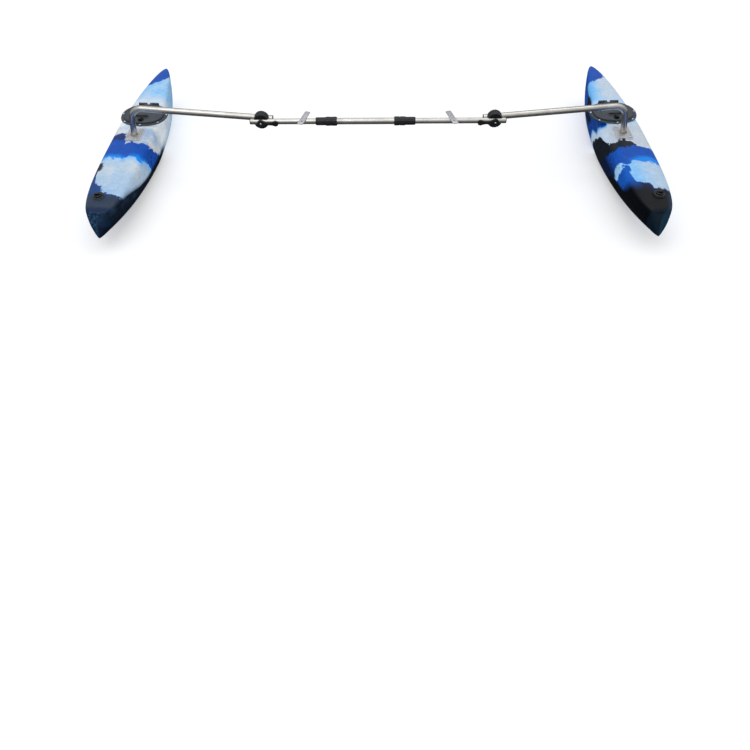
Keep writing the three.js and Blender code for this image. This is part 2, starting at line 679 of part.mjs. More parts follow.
function onHatch(geometry) {
  return geometry.translate(...HATCH_PLACE.toArray());
}

function floatHull() {
  const outside = hullBody(HULL_SIZE, HULL_STATIONS, HULL_AROUND).translate(...HULL_PLACE.toArray());
  const inside = hullBody(BAY_SIZE, BAY_STATIONS, BAY_AROUND).translate(...HULL_PLACE.toArray());
  const seatWidth = RING_HALF_WIDTH + HATCH_SEAT_MARGIN;
  const seatLength = RING_HALF_LENGTH + HATCH_SEAT_MARGIN;
  const seat = ovalSlab(seatWidth, seatLength, HATCH_SEAT_DEPTH).translate(0, 0, -HATCH_SEAT_DEPTH);
  const seatHollowDepth = HATCH_SEAT_DEPTH - 2 * HULL_WALL;
  const seatInside = ovalSlab(seatWidth - HULL_WALL, seatLength - HULL_WALL, seatHollowDepth);
  seatInside.translate(0, 0, -HATCH_SEAT_DEPTH + HULL_WALL);
  const mouthWall = COLLAR_WALL + SEAT_GAP;
  const mouth = ovalSlab(BORE_HALF_WIDTH + mouthWall, BORE_HALF_LENGTH + mouthWall, HATCH_SEAT_DEPTH);
  mouth.translate(0, 0, -HATCH_SEAT_DEPTH / 2);
  const boss = rodZ(DRAIN_BOSS_RADIUS, DRAIN_BOSS_DEPTH + DRAIN_BOSS_RISE).translate(0, 0, -DRAIN_BOSS_DEPTH);
  const drainHole = rodZ(DRAIN_SLEEVE_RADIUS + SEAT_GAP, 4 * DRAIN_BOSS_DEPTH);
  drainHole.translate(0, 0, -2 * DRAIN_BOSS_DEPTH);
  const skin = join(outside, onHatch(seat), platePad(), onDrain(boss));
  const hollow = join(inside, onHatch(seatInside));
  return cut(cut(skin, hollow), ...padScrewHoles(), onHatch(mouth), onDrain(drainHole));
}

// Hatch pieces, drawn about the middle of the seat's top
const RING_BOTTOM = SEAT_GAP;
const RING_TOP = RING_BOTTOM + RING_THICKNESS;
const GASKET_BOTTOM = RING_TOP + SEAT_GAP;
const LID_BOTTOM = GASKET_BOTTOM + GASKET_HEIGHT + SEAT_GAP;
const LID_TOP = LID_BOTTOM + LID_THICKNESS;
const HINGE_HEIGHT = RING_TOP + HINGE_PIN_HEIGHT;
const LATCH_TONGUE_TOP = RING_BOTTOM - 2 * SEAT_GAP;
const LATCH_SWEEP_WIDTH = 2 * LATCH_TONGUE_LENGTH + LATCH_TONGUE_WIDTH;

function hatchRing() {
  const flange = ovalRing(RING_HALF_WIDTH, RING_HALF_LENGTH, RING_HALF_WIDTH - BORE_HALF_WIDTH, RING_THICKNESS);
  flange.translate(0, 0, RING_BOTTOM);
  const collar = ovalRing(
    BORE_HALF_WIDTH + COLLAR_WALL, BORE_HALF_LENGTH + COLLAR_WALL, COLLAR_WALL, COLLAR_DEPTH + RING_TOP,
  );
  collar.translate(0, 0, -COLLAR_DEPTH);
  const bore = ovalSlab(BORE_HALF_WIDTH, BORE_HALF_LENGTH, 2 * (COLLAR_DEPTH + RING_TOP));
  bore.translate(0, 0, -COLLAR_DEPTH - CUT_OVERRUN);
  let ring = join(flange, collar);
  const pinHole = rodX(HINGE_PIN_RADIUS + SEAT_GAP, 2 * RING_HALF_WIDTH, SCREW_SIDES);
  pinHole.translate(-RING_HALF_WIDTH, HINGE_AFT, HINGE_HEIGHT);
  for (const side of [-1, 1]) {
    const start = side * HINGE_EAR_FROM_MIDDLE - HINGE_EAR_WIDTH / 2;
    const barrel = rodX(HINGE_BARREL_RADIUS, HINGE_EAR_WIDTH, BARREL_SIDES);
    barrel.translate(start, HINGE_AFT, HINGE_HEIGHT);
    const base = block(HINGE_EAR_WIDTH, HINGE_BASE_LENGTH, HINGE_HEIGHT - RING_BOTTOM);
    base.translate(side * HINGE_EAR_FROM_MIDDLE, HINGE_AFT, RING_BOTTOM);
    ring = join(ring, barrel, base);
  }
  const windowLength = BORE_HALF_LENGTH + 2 * COLLAR_WALL;
  const tongueWindow = block(LATCH_SWEEP_WIDTH, windowLength, COLLAR_DEPTH + CUT_OVERRUN);
  tongueWindow.translate(0, -windowLength / 2, RING_BOTTOM - COLLAR_DEPTH - CUT_OVERRUN);
  return cut(ring, bore, pinHole, tongueWindow);
}

function hatchGasket() {
  const halfWidth = BORE_HALF_WIDTH + GASKET_INSET + GASKET_WIDTH;
  const halfLength = BORE_HALF_LENGTH + GASKET_INSET + GASKET_WIDTH;
  return ovalRing(halfWidth, halfLength, GASKET_WIDTH, GASKET_HEIGHT).translate(0, 0, GASKET_BOTTOM);
}

function hatchLid() {
  const panel = ovalSlab(LID_HALF_WIDTH, LID_HALF_LENGTH, LID_THICKNESS).translate(0, 0, LID_BOTTOM);
  const skirtHeight = LID_BOTTOM - GASKET_BOTTOM + LID_THICKNESS;
  const skirt = ovalRing(LID_HALF_WIDTH, LID_HALF_LENGTH, LID_SKIRT_WALL, skirtHeight);
  skirt.translate(0, 0, GASKET_BOTTOM);
  const plugWidth = BORE_HALF_WIDTH - LID_PLUG_GAP;
  const plugLength = BORE_HALF_LENGTH - LID_PLUG_GAP;
  const plug = ovalRing(plugWidth, plugLength, LID_PLUG_WALL, LID_PLUG_DEPTH + LID_THICKNESS);
  plug.translate(0, 0, LID_BOTTOM - LID_PLUG_DEPTH);
  const pocketDepth = LID_PLUG_DEPTH + LID_THICKNESS - LID_PANEL;
  const pocket = ovalSlab(plugWidth - LID_PLUG_WALL, plugLength - LID_PLUG_WALL, pocketDepth);
  pocket.translate(0, 0, LID_BOTTOM - LID_PLUG_DEPTH);
  const shaftNotch = block(LATCH_SWEEP_WIDTH, 4 * LATCH_SHAFT_RADIUS, LID_PLUG_DEPTH + SEAT_GAP);
  shaftNotch.translate(0, -LATCH_FORWARD - LATCH_SHAFT_RADIUS, LID_BOTTOM - LID_PLUG_DEPTH - SEAT_GAP);
  const shaftHole = rodZ(LATCH_SHAFT_RADIUS + SEAT_GAP, 2 * LID_TOP, BARREL_SIDES);
  shaftHole.translate(0, -LATCH_FORWARD, -LID_TOP / 2);
  const barrelLength = 2 * HINGE_EAR_FROM_MIDDLE - HINGE_EAR_WIDTH - 2 * SEAT_GAP;
  const barrel = rodX(HINGE_BARREL_RADIUS, barrelLength, BARREL_SIDES);
  barrel.translate(-barrelLength / 2, HINGE_AFT, HINGE_HEIGHT);
  const tabLength = HINGE_AFT - LID_HALF_LENGTH + HINGE_BARREL_RADIUS;
  const tab = block(barrelLength, tabLength, LID_TOP - HINGE_HEIGHT + HINGE_PIN_RADIUS);
  tab.translate(0, HINGE_AFT - tabLength / 2, HINGE_HEIGHT - HINGE_PIN_RADIUS);
  const pinHole = rodX(HINGE_PIN_RADIUS + SEAT_GAP, 2 * LID_HALF_WIDTH, SCREW_SIDES);
  pinHole.translate(-LID_HALF_WIDTH, HINGE_AFT, HINGE_HEIGHT);
  return cut(join(panel, skirt, plug, barrel, tab), pocket, shaftNotch, shaftHole, pinHole);
}

function hatchHingePin() {
  const length = 2 * HINGE_EAR_FROM_MIDDLE + HINGE_EAR_WIDTH;
  return rodX(HINGE_PIN_RADIUS, length, SCREW_SIDES).translate(-length / 2, 0, 0);
}

// Latch pieces, drawn about the shaft at the height of the lid's top.
// A quarter turn takes the tongue from beside the shaft to under the ring's flange.
const LATCH_HEAD_TOP = SEAT_GAP + LATCH_HEAD_HEIGHT;
const HANDLE_PIN_HEIGHT = LATCH_HEAD_TOP + HANDLE_BARREL_RADIUS + SLIDE_GAP;

function latchRotor() {
  const head = rodZ(LATCH_HEAD_RADIUS, LATCH_HEAD_HEIGHT).translate(0, 0, SEAT_GAP);
  const bottom = LATCH_TONGUE_TOP - LATCH_TONGUE_THICKNESS - LID_TOP;
  const shaft = rodZ(LATCH_SHAFT_RADIUS, LATCH_HEAD_TOP - bottom, BARREL_SIDES);
  shaft.translate(0, 0, bottom);
  const tongue = block(LATCH_TONGUE_LENGTH, LATCH_TONGUE_WIDTH, LATCH_TONGUE_THICKNESS);
  tongue.translate(-LATCH_TONGUE_LENGTH / 2, 0, bottom);
  const earOffset = (HANDLE_STEM_WIDTH + LATCH_EAR_THICKNESS) / 2 + SLIDE_GAP;
  const ears = [-1, 1].map((side) => {
    const ear = block(LATCH_EAR_THICKNESS, 2 * HANDLE_BARREL_RADIUS, LATCH_EAR_HEIGHT);
    return ear.translate(side * earOffset, -LATCH_PIN_FORWARD, SEAT_GAP);
  });
  const pinLength = 2 * earOffset;
  const pin = rodX(LATCH_PIN_RADIUS, pinLength, SCREW_SIDES);
  pin.translate(-pinLength / 2, -LATCH_PIN_FORWARD, HANDLE_PIN_HEIGHT);
  return join(head, shaft, tongue, ...ears, pin);
}

// The handle is drawn about its own pin, lying flat and pointing to the stern
function latchHandle() {
  const barrel = rodX(HANDLE_BARREL_RADIUS, HANDLE_STEM_WIDTH, BARREL_SIDES);
  barrel.translate(-HANDLE_STEM_WIDTH / 2, 0, 0);
  const stem = block(HANDLE_STEM_WIDTH, HANDLE_STEM_LENGTH, HANDLE_THICKNESS);
  stem.translate(0, HANDLE_STEM_LENGTH / 2, -HANDLE_THICKNESS / 2);
  const barShape = roundedRectangle(HANDLE_BAR_LENGTH, HANDLE_BAR_WIDTH, HANDLE_BAR_WIDTH / 3);
  const bar = slab(barShape, HANDLE_THICKNESS);
  bar.translate(0, HANDLE_STEM_LENGTH, -HANDLE_THICKNESS / 2);
  const hole = rodX(LATCH_PIN_RADIUS + SEAT_GAP, 2 * HANDLE_STEM_WIDTH, SCREW_SIDES);
  return cut(join(barrel, stem, bar), hole.translate(-HANDLE_STEM_WIDTH, 0, 0));
}

// Drain pieces, drawn about the middle of the boss's top
const DRAIN_FLANGE_TOP = SEAT_GAP + DRAIN_FLANGE_THICKNESS;
const DRAIN_CAP_BOTTOM = DRAIN_FLANGE_TOP + DRAIN_SEAL_HEIGHT + 2 * SEAT_GAP;
const DRAIN_BORE = DRAIN_SLEEVE_RADIUS - DRAIN_SLEEVE_WALL;

function drainSocket() {
  const flange = rodZ(DRAIN_FLANGE_RADIUS, DRAIN_FLANGE_THICKNESS).translate(0, 0, SEAT_GAP);
  const sleeve = rodZ(DRAIN_SLEEVE_RADIUS, DRAIN_SLEEVE_LENGTH + SEAT_GAP + DRAIN_FLANGE_THICKNESS);
  sleeve.translate(0, 0, -DRAIN_SLEEVE_LENGTH);
  const bore = rodZ(DRAIN_BORE, 2 * DRAIN_SLEEVE_LENGTH + 2 * DRAIN_FLANGE_TOP);
  bore.translate(0, 0, -DRAIN_SLEEVE_LENGTH - CUT_OVERRUN);
  return cut(join(flange, sleeve), bore);
}

function drainSeal() {
  const seal = ringZ(DRAIN_SEAL_RADIUS, DRAIN_SEAL_RADIUS - DRAIN_SEAL_WIDTH, DRAIN_SEAL_HEIGHT);
  return seal.translate(0, 0, DRAIN_FLANGE_TOP + SEAT_GAP);
}

function drainPlug() {
  const cap = rodZ(DRAIN_CAP_RADIUS, DRAIN_CAP_HEIGHT).translate(0, 0, DRAIN_CAP_BOTTOM);
  const stem = rodZ(DRAIN_BORE - SLIDE_GAP, DRAIN_SLEEVE_LENGTH + DRAIN_CAP_BOTTOM + DRAIN_CAP_HEIGHT);
  stem.translate(0, 0, -DRAIN_SLEEVE_LENGTH);
  const grip = block(DRAIN_GRIP_LENGTH, DRAIN_GRIP_WIDTH, DRAIN_CAP_HEIGHT + DRAIN_GRIP_HEIGHT);
  grip.translate(0, 0, DRAIN_CAP_BOTTOM);
  return join(cap, stem, grip);
}

// Assembly
const outrigger = new THREE.Group();
const crossbar = new THREE.Group();
outrigger.add(crossbar);

function addMesh(parent, name, geometry, finish) {
  const mesh = new THREE.Mesh(geometry, new THREE.MeshStandardMaterial(FINISHES[finish]));
  mesh.name = name;
  parent.add(mesh);
  return mesh;
}

function addGroup(parent, place, turns = {}) {
  const group = new THREE.Group();
  group.position.copy(place);
  group.rotation.set(turns.x ?? 0, turns.y ?? 0, turns.z ?? 0);
  parent.add(group);
  return group;
}

function addCoupler(parent, prefix, tubeEnd) {
  const place = new THREE.Vector3(tubeEnd, 0, 0);
  addMesh(parent, `${prefix}_coupler_body`, couplerBody(), 'blackPlastic').position.copy(place);
  addMesh(parent, `${prefix}_coupler_nut`, couplerNut(), 'blackPlastic').position.copy(place);
  addMesh(parent, `${prefix}_coupler_collet`, couplerCollet(), 'hatchPlastic').position.copy(place);
}

function addInnerTube(parent, prefix) {
  const tube = addMesh(parent, `${prefix}_inner_tube`, innerTube(), 'steel');
  tube.position.x = INNER_TUBE_START;
  const plug = addMesh(parent, `${prefix}_inner_tube_plug`, tubePlug(INNER_TUBE_RADIUS), 'blackPlastic');
  plug.position.x = INNER_TUBE_END + SEAT_GAP;
}

function addStrap(parent, prefix) {
  const place = new THREE.Vector3(STRAP_FROM_CENTRE, STRAP_AFT_SHIFT, INNER_TUBE_RADIUS + SEAT_GAP);
  const strap = addGroup(parent, place, { z: radians(STRAP_TURN_DEGREES) });
  addMesh(strap, `${prefix}_hold_down_strap`, holdDownStrap(), 'steel');
  addMesh(strap, `${prefix}_strap_screw`, strapScrew(), 'steel');
}

function addKnuckle(parent, prefix) {
  const knuckle = addGroup(parent, new THREE.Vector3(PIVOT_FROM_CENTRE, 0, 0));
  addMesh(knuckle, `${prefix}_knuckle_inner_half`, knuckleInnerHalf(), 'blackPlastic');
  addMesh(knuckle, `${prefix}_pivot_bolt`, pivotBolt(), 'steel');
  addMesh(knuckle, `${prefix}_pivot_washer`, pivotWasher(), 'steel');
  addMesh(knuckle, `${prefix}_clamp_lever`, clampLever(), 'blackPlastic');
  const outerHalf = addMesh(knuckle, `${prefix}_knuckle_outer_half`, knuckleOuterHalf(), 'blackPlastic');
  outerHalf.rotation.y = -radians(ARM_RISE_DEGREES);
}

function addPlate(parent, prefix) {
  const plate = addGroup(parent, new THREE.Vector3());
  addMesh(plate, `${prefix}_base_plate`, basePlate(), 'steel');
  PLATE_SCREW_PLACES.forEach(([across, along], k) => {
    const screw = addMesh(plate, `${prefix}_plate_screw_${k + 1}`, plateScrew(), 'steel');
    screw.position.set(across, along, 0);
  });
}

function addHatch(parent, prefix) {
  const hatch = addGroup(parent, HATCH_PLACE);
  addMesh(hatch, `${prefix}_hatch_ring`, hatchRing(), 'hatchPlastic');
  addMesh(hatch, `${prefix}_hatch_gasket`, hatchGasket(), 'rubber');
  addMesh(hatch, `${prefix}_hatch_lid`, hatchLid(), 'hatchPlastic');
  const pin = addMesh(hatch, `${prefix}_hatch_hinge_pin`, hatchHingePin(), 'steel');
  pin.position.set(0, HINGE_AFT, HINGE_HEIGHT);
  const latch = addGroup(hatch, new THREE.Vector3(0, -LATCH_FORWARD, LID_TOP));
  addMesh(latch, `${prefix}_latch_rotor`, latchRotor(), 'blackPlastic');
  const handle = addMesh(latch, `${prefix}_latch_handle`, latchHandle(), 'blackPlastic');
  handle.position.set(0, -LATCH_PIN_FORWARD, HANDLE_PIN_HEIGHT);
}

function addDrain(parent, prefix) {
  const drain = addGroup(parent, DRAIN_PLACE, { y: DRAIN_TILT });
  const top = addGroup(drain, new THREE.Vector3(0, 0, DRAIN_BOSS_RISE));
  addMesh(top, `${prefix}_drain_socket`, drainSocket(), 'blackPlastic');
  addMesh(top, `${prefix}_drain_seal`, drainSeal(), 'rubber');
  addMesh(top, `${prefix}_drain_plug`, drainPlug(), 'blackPlastic');
}

function addArm(parent, prefix) {
  const pivot = new THREE.Vector3(PIVOT_FROM_CENTRE, ARM_PLANE_AFT, 0);
  const arm = addGroup(parent, pivot, { y: -radians(ARM_RISE_DEGREES) });
  addMesh(arm, `${prefix}_arm_tube`, armTube(), 'steel');
  const plug = addMesh(arm, `${prefix}_arm_tube_plug`, tubePlug(ARM_TUBE_RADIUS), 'blackPlastic');
  plug.position.x = -TUBE_END_FROM_PIVOT - SEAT_GAP;
  plug.rotation.z = Math.PI;
  const level = addGroup(arm, FOOT, { y: LEVEL_TURN });
  const float = addGroup(level, new THREE.Vector3(), { z: radians(FLOAT_TOE_OUT_DEGREES) });
  addPlate(float, prefix);
  addMesh(float, `${prefix}_float_hull`, floatHull(), 'floatPlastic');
  addHatch(float, prefix);
  addDrain(float, prefix);
}

function addSide(prefix, side, tubeEnd) {
  const half = addGroup(crossbar, new THREE.Vector3());
  half.scale.x = side;
  addCoupler(half, prefix, tubeEnd);
  addInnerTube(half, prefix);
  addStrap(half, prefix);
  addKnuckle(half, prefix);
  addArm(half, prefix);
}

const centreTubeLength = CENTRE_TUBE_LEFT_END + CENTRE_TUBE_RIGHT_END;
const centreTubeGeometry = pipeX(CENTRE_TUBE_RADIUS, CENTRE_TUBE_RADIUS - TUBE_WALL, centreTubeLength);
addMesh(crossbar, 'centre_tube', centreTubeGeometry, 'steel').position.x = -CENTRE_TUBE_LEFT_END;
addSide('left', -1, CENTRE_TUBE_LEFT_END);
addSide('right', 1, CENTRE_TUBE_RIGHT_END);

// Stand the floats on the ground, with the floats' middle over the origin
outrigger.updateMatrixWorld(true);
const reach = new THREE.Box3().setFromObject(outrigger, true);
crossbar.position.set(0, -(reach.min.y + reach.max.y) / 2, -reach.min.z);
outrigger.updateMatrixWorld(true);

export default outrigger;
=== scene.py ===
"""Looks of a pair of outrigger floats on a telescoping crossbar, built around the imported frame.

Sizes are in millimetres, in the frames that the solids use: the pieces of a side are drawn with
x pointing outboard, and are mirrored for the left.
"""

from math import copysign, cos, hypot, pi, radians, sin, tan

import bmesh
import bpy
import numpy as np
from mathutils import Matrix, Vector


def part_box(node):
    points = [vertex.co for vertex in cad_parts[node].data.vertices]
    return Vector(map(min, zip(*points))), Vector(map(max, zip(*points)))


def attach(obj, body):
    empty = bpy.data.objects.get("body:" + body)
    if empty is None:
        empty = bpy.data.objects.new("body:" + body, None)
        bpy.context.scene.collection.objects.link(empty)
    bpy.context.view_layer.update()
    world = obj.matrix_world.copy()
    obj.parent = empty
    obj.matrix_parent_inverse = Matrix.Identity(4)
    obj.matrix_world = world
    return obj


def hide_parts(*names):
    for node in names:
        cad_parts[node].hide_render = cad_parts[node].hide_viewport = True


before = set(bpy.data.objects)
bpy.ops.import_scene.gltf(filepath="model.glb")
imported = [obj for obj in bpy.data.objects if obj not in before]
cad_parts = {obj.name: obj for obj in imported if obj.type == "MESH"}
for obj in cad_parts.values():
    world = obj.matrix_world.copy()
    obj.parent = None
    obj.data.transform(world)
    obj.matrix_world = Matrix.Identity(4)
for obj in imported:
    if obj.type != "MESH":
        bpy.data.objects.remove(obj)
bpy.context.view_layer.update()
SCENE = bpy.context.scene

# Clearances, screws and tubes
SEAT_GAP = 0.3
SCREW_RADIUS = 2.4
SCREW_HOLE_RADIUS = 2.7
TUBE_WALL = 1.1
CENTRE_TUBE_RADIUS = 12.5
INNER_TUBE_RADIUS = 11
INNER_TUBE_START = 38
TUBE_ENDS = {"left": 210, "right": 110}
SIDES = {"left": -1, "right": 1}
COUPLER_RIBS = 12

# Hold-down strap
STRAP_FROM_CENTRE = 300
STRAP_AFT = 4
STRAP_TURN = 16
STRAP_THICKNESS = 2.5
STRAP_HOLES = (-25, 25)

# Knuckle
PIVOT_FROM_CENTRE = 475
TUBE_END_FROM_PIVOT = 43
TUBE_END = PIVOT_FROM_CENTRE + TUBE_END_FROM_PIVOT
KNUCKLE_RADIUS = 31
KNUCKLE_RIBS = 18
KNUCKLE_RIB_DEPTH = 1.3
KNUCKLE_FRONT = -3
KNUCKLE_SPLIT = 13.75
KNUCKLE_BACK = 31
BOLT_HOLE_RADIUS = 4.3
LEVER_BACK = 11.3
LEVER_FRONT = 20.3
LEVER_BULB_FROM_PIVOT = 60

# Arm and base plate
ARM_TUBE_RADIUS = 12.5
ARM_PLANE_AFT = 29
ARM_RISE = 5
ARM_RUN = 527
ARM_BEND_RADIUS = 48
LEG_LENGTH = 120
LEG_LEAN = radians(5)
FOOT = (ARM_RUN + LEG_LENGTH * sin(LEG_LEAN), 0, -LEG_LENGTH * cos(LEG_LEAN))
TOE_OUT = 2.85
PLATE_WIDTH = 60
PLATE_LENGTH = 88
PLATE_THICKNESS = 3
PLATE_SCREWS = ((18, 38), (-18, 38), (-18, -38), (18, -38))
PLATE_SCREW_LENGTH = 16
PAD_BORDER = 4
PAD_DEPTH = 9

# Float hull
HULL_HALF_LENGTH = 541
HULL_HALF_BEAM = 87
HULL_CROWN = 11
HULL_DEPTH = 160
HULL_WALL = 3.5
HULL_END_WALL = 24
HULL_PLACE = (14, 43, -17.5)
NOSE_HALF_WIDTH = 27
BOW_RAKE = 44
BOW_ROUNDING = 16
BOW_DRAFT_SHARE = 0.565
BOW_FULLNESS = 3.6
STERN_FULLNESS = 1.5
DECK_POWER = 2.5
GIRTH_MIDDLE_SHARE = 0.45
HALF_RING_STEPS = 360
DECK_SPOTS = 34
KEEL_SPOTS = 88
RING_SOFTENINGS = 16
SHARP_DEGREES = 32
HULL_SHARP_DEGREES = 38

# Hatch and latch
HATCH_PLACE = (-3, 152, -5.7)
HATCH_OVAL_POWER = 2.3
LID_TOP = 14
HINGE_AFT = 77
HINGE_HEIGHT = 11
HINGE_RADIUS = 5.4
HINGE_EAR_FROM_MIDDLE = 31
HINGE_EAR_WIDTH = 24
LATCH_FORWARD = 55
LATCH_NOTCH_WIDTH = 25.2
HANDLE_PIN_FORWARD = 4
HANDLE_PIN_HEIGHT = 5.1

# Drain
DRAIN_ALONG_HULL = 91 - HULL_HALF_LENGTH
DRAIN_OUTBOARD = 28
DRAIN_TILT = 3
DRAIN_BOSS_TOP = 1.5


# Frames of the pieces
def turn(axis, degrees):
    return Matrix.Rotation(radians(degrees), 4, axis)


def shift(x, y, z):
    return Matrix.Translation((x, y, z))


TO_X = turn("Y", 90)
TO_Y = turn("X", -90)
HINGE_AXIS = shift(0, HINGE_AFT, HINGE_HEIGHT) @ TO_X
tube_low, tube_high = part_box("centre_tube")
AXIS = shift(0, (tube_low.y + tube_high.y) / 2, (tube_low.z + tube_high.z) / 2)
AXIS = AXIS @ Matrix.Scale(0.001, 4)


def side_frames(prefix):
    """The frames that the pieces of one side are placed in."""
    half = AXIS @ Matrix.Diagonal((SIDES[prefix], 1, 1, 1))
    strap_middle = half @ shift(STRAP_FROM_CENTRE, STRAP_AFT, INNER_TUBE_RADIUS + SEAT_GAP)
    knuckle = half @ shift(PIVOT_FROM_CENTRE, 0, 0)
    arm = half @ shift(PIVOT_FROM_CENTRE, ARM_PLANE_AFT, 0) @ turn("Y", -ARM_RISE)
    floating = arm @ shift(*FOOT) @ turn("Y", ARM_RISE) @ turn("Z", TOE_OUT)
    hatch = floating @ shift(*HATCH_PLACE)
    latch = hatch @ shift(0, -LATCH_FORWARD, LID_TOP)
    frames = {
        "half": half,
        "coupler": half @ shift(TUBE_ENDS[prefix], 0, 0),
        "inner_plug": half @ shift(TUBE_END + SEAT_GAP, 0, 0),
        "strap": strap_middle @ turn("Z", STRAP_TURN),
        "knuckle": knuckle,
        "back_knuckle": knuckle @ turn("Y", -ARM_RISE),
        "arm": arm,
        "arm_plug": arm @ shift(-TUBE_END_FROM_PIVOT - SEAT_GAP, 0, 0) @ turn("Z", 180),
        "float": floating,
        "hatch": hatch,
        "latch": latch,
        "handle": latch @ shift(0, -HANDLE_PIN_FORWARD, HANDLE_PIN_HEIGHT),
        "drain": floating @ drain_place() @ shift(0, 0, DRAIN_BOSS_TOP),
    }
    for k, (x, y) in enumerate(PLATE_SCREWS, 1):
        frames[f"foot_screw_{k}"] = floating @ shift(x, y, 0)
    for k, (x, y) in enumerate(hatch_screw_places()):
        frames[f"hatch_screw_{k + 1}"] = hatch @ shift(x, y, 0) @ turn("Z", 30 * k)
    return frames


# Outlines, as lists of (x, y) going round anticlockwise
def angles(count):
    return np.arange(count) * 2 * pi / count


def circle(radius, sides=64):
    return [(radius * cos(a), radius * sin(a)) for a in angles(sides)]


def ribbed(radius, depth, ribs, per_rib=8):
    points = []
    for a in angles(ribs * per_rib):
        wave = cos(ribs * a)
        r = radius - depth * 0.5 * (1 - copysign(abs(wave) ** 0.4, wave))
        points.append((r * cos(a), r * sin(a)))
    return points


def oval_point(half_width, half_length, angle):
    c, s = cos(angle), sin(angle)
    power = 2 / HATCH_OVAL_POWER
    x = half_width * copysign(abs(c) ** power, c)
    return x, half_length * copysign(abs(s) ** power, s)


def rounded(width, length, corner, per_corner=7):
    points = []
    for k, (sx, sy) in enumerate(((1, 1), (-1, 1), (-1, -1), (1, -1))):
        for step in range(per_corner):
            angle = pi / 2 * (k + step / (per_corner - 1))
            x = sx * (width / 2 - corner) + corner * cos(angle)
            points.append((x, sy * (length / 2 - corner) + corner * sin(angle)))
    return points


# Shapes, as (points, faces)
def loft(rings, loop=False):
    count = len(rings[0])
    points = [tuple(p) for ring in rings for p in ring]
    faces = []
    for i in range(len(rings) - (not loop)):
        a, b = i * count, (i + 1) % len(rings) * count
        for j in range(count):
            k = (j + 1) % count
            faces.append((a + j, a + k, b + k, b + j))
    if not loop:
        faces += [tuple(reversed(range(count))), tuple(range(len(points) - count, len(points)))]
    return points, faces


def stack(levels, loop=False):
    """A shape from (outline, height) pairs."""
    return loft([[(x, y, z) for x, y in outline] for outline, z in levels], loop)


def turned(profile, loop=False, sides=64):
    """A turned shape from (radius, height) pairs."""
    return stack([(circle(r, sides), z) for r, z in profile], loop)


def oval_stack(levels, loop=False, sides=112):
    """A shape from (half-width, half-length, height) rows."""
    rows = []
    for width, length, z in levels:
        rows.append(([oval_point(width, length, a) for a in angles(sides)], z))
    return stack(rows, loop)


def prism(outline_of, z0, z1, round_off=0.6):
    """A plate with rounded-off edges: outline_of gives its outline for a given inset."""
    r = round_off
    rows = [(r, z0), (0.3 * r, z0 + 0.3 * r), (0, z0 + r), (0, z1 - r), (0.3 * r, z1 - 0.3 * r), (r, z1)]
    return stack([(outline_of(inset), z) for inset, z in rows])


def rounded_plate(width, length, corner, z0, z1, round_off=0.6):
    def outline(inset):
        return rounded(width - 2 * inset, length - 2 * inset, max(corner - inset, 0.2))

    return prism(outline, z0, z1, round_off)


def rod(radius, z0, z1, round_off=0.6, sides=48):
    return prism(lambda inset: circle(radius - inset, sides), z0, z1, round_off)


def moved(shape, matrix):
    return [tuple(matrix @ Vector(p)) for p in shape[0]], shape[1]


def at(shape, x, y, z):
    return moved(shape, shift(x, y, z))


def as_object(shape, name="work"):
    mesh = bpy.data.meshes.new(name)
    mesh.from_pydata(shape[0], [], shape[1])
    work = bmesh.new()
    work.from_mesh(mesh)
    bmesh.ops.recalc_face_normals(work, faces=work.faces)
    work.to_mesh(mesh)
    work.free()
    made = bpy.data.objects.new(name, mesh)
    SCENE.collection.objects.link(made)
    return made


def combined(operation, base, tools):
    """The shape that a base has once tools are cut from it or joined to it."""
    target = as_object(base)
    spare = [as_object(tool, "tool") for tool in tools]
    for tool in spare:
        modifier = target.modifiers.new("combine", "BOOLEAN")
        modifier.operation = operation
        modifier.solver = "MANIFOLD"
        modifier.object = tool
    bpy.context.view_layer.update()
    seen = target.evaluated_get(bpy.context.evaluated_depsgraph_get())
    mesh = bpy.data.meshes.new_from_object(seen)
    shape = [tuple(v.co) for v in mesh.vertices], [tuple(p.vertices) for p in mesh.polygons]
    for work in (target, *spare):
        bpy.data.objects.remove(work)
    return shape


def cut(base, *tools):
    return combined("DIFFERENCE", base, tools)


def joined(base, *tools):
    return combined("UNION", base, tools)


# Materials
def linear(value):
    """What shaders take for a share of red, green or blue that was given as 0 to 255."""
    value /= 255
    return value / 12.92 if value <= 0.04045 else ((value + 0.055) / 1.055) ** 2.4


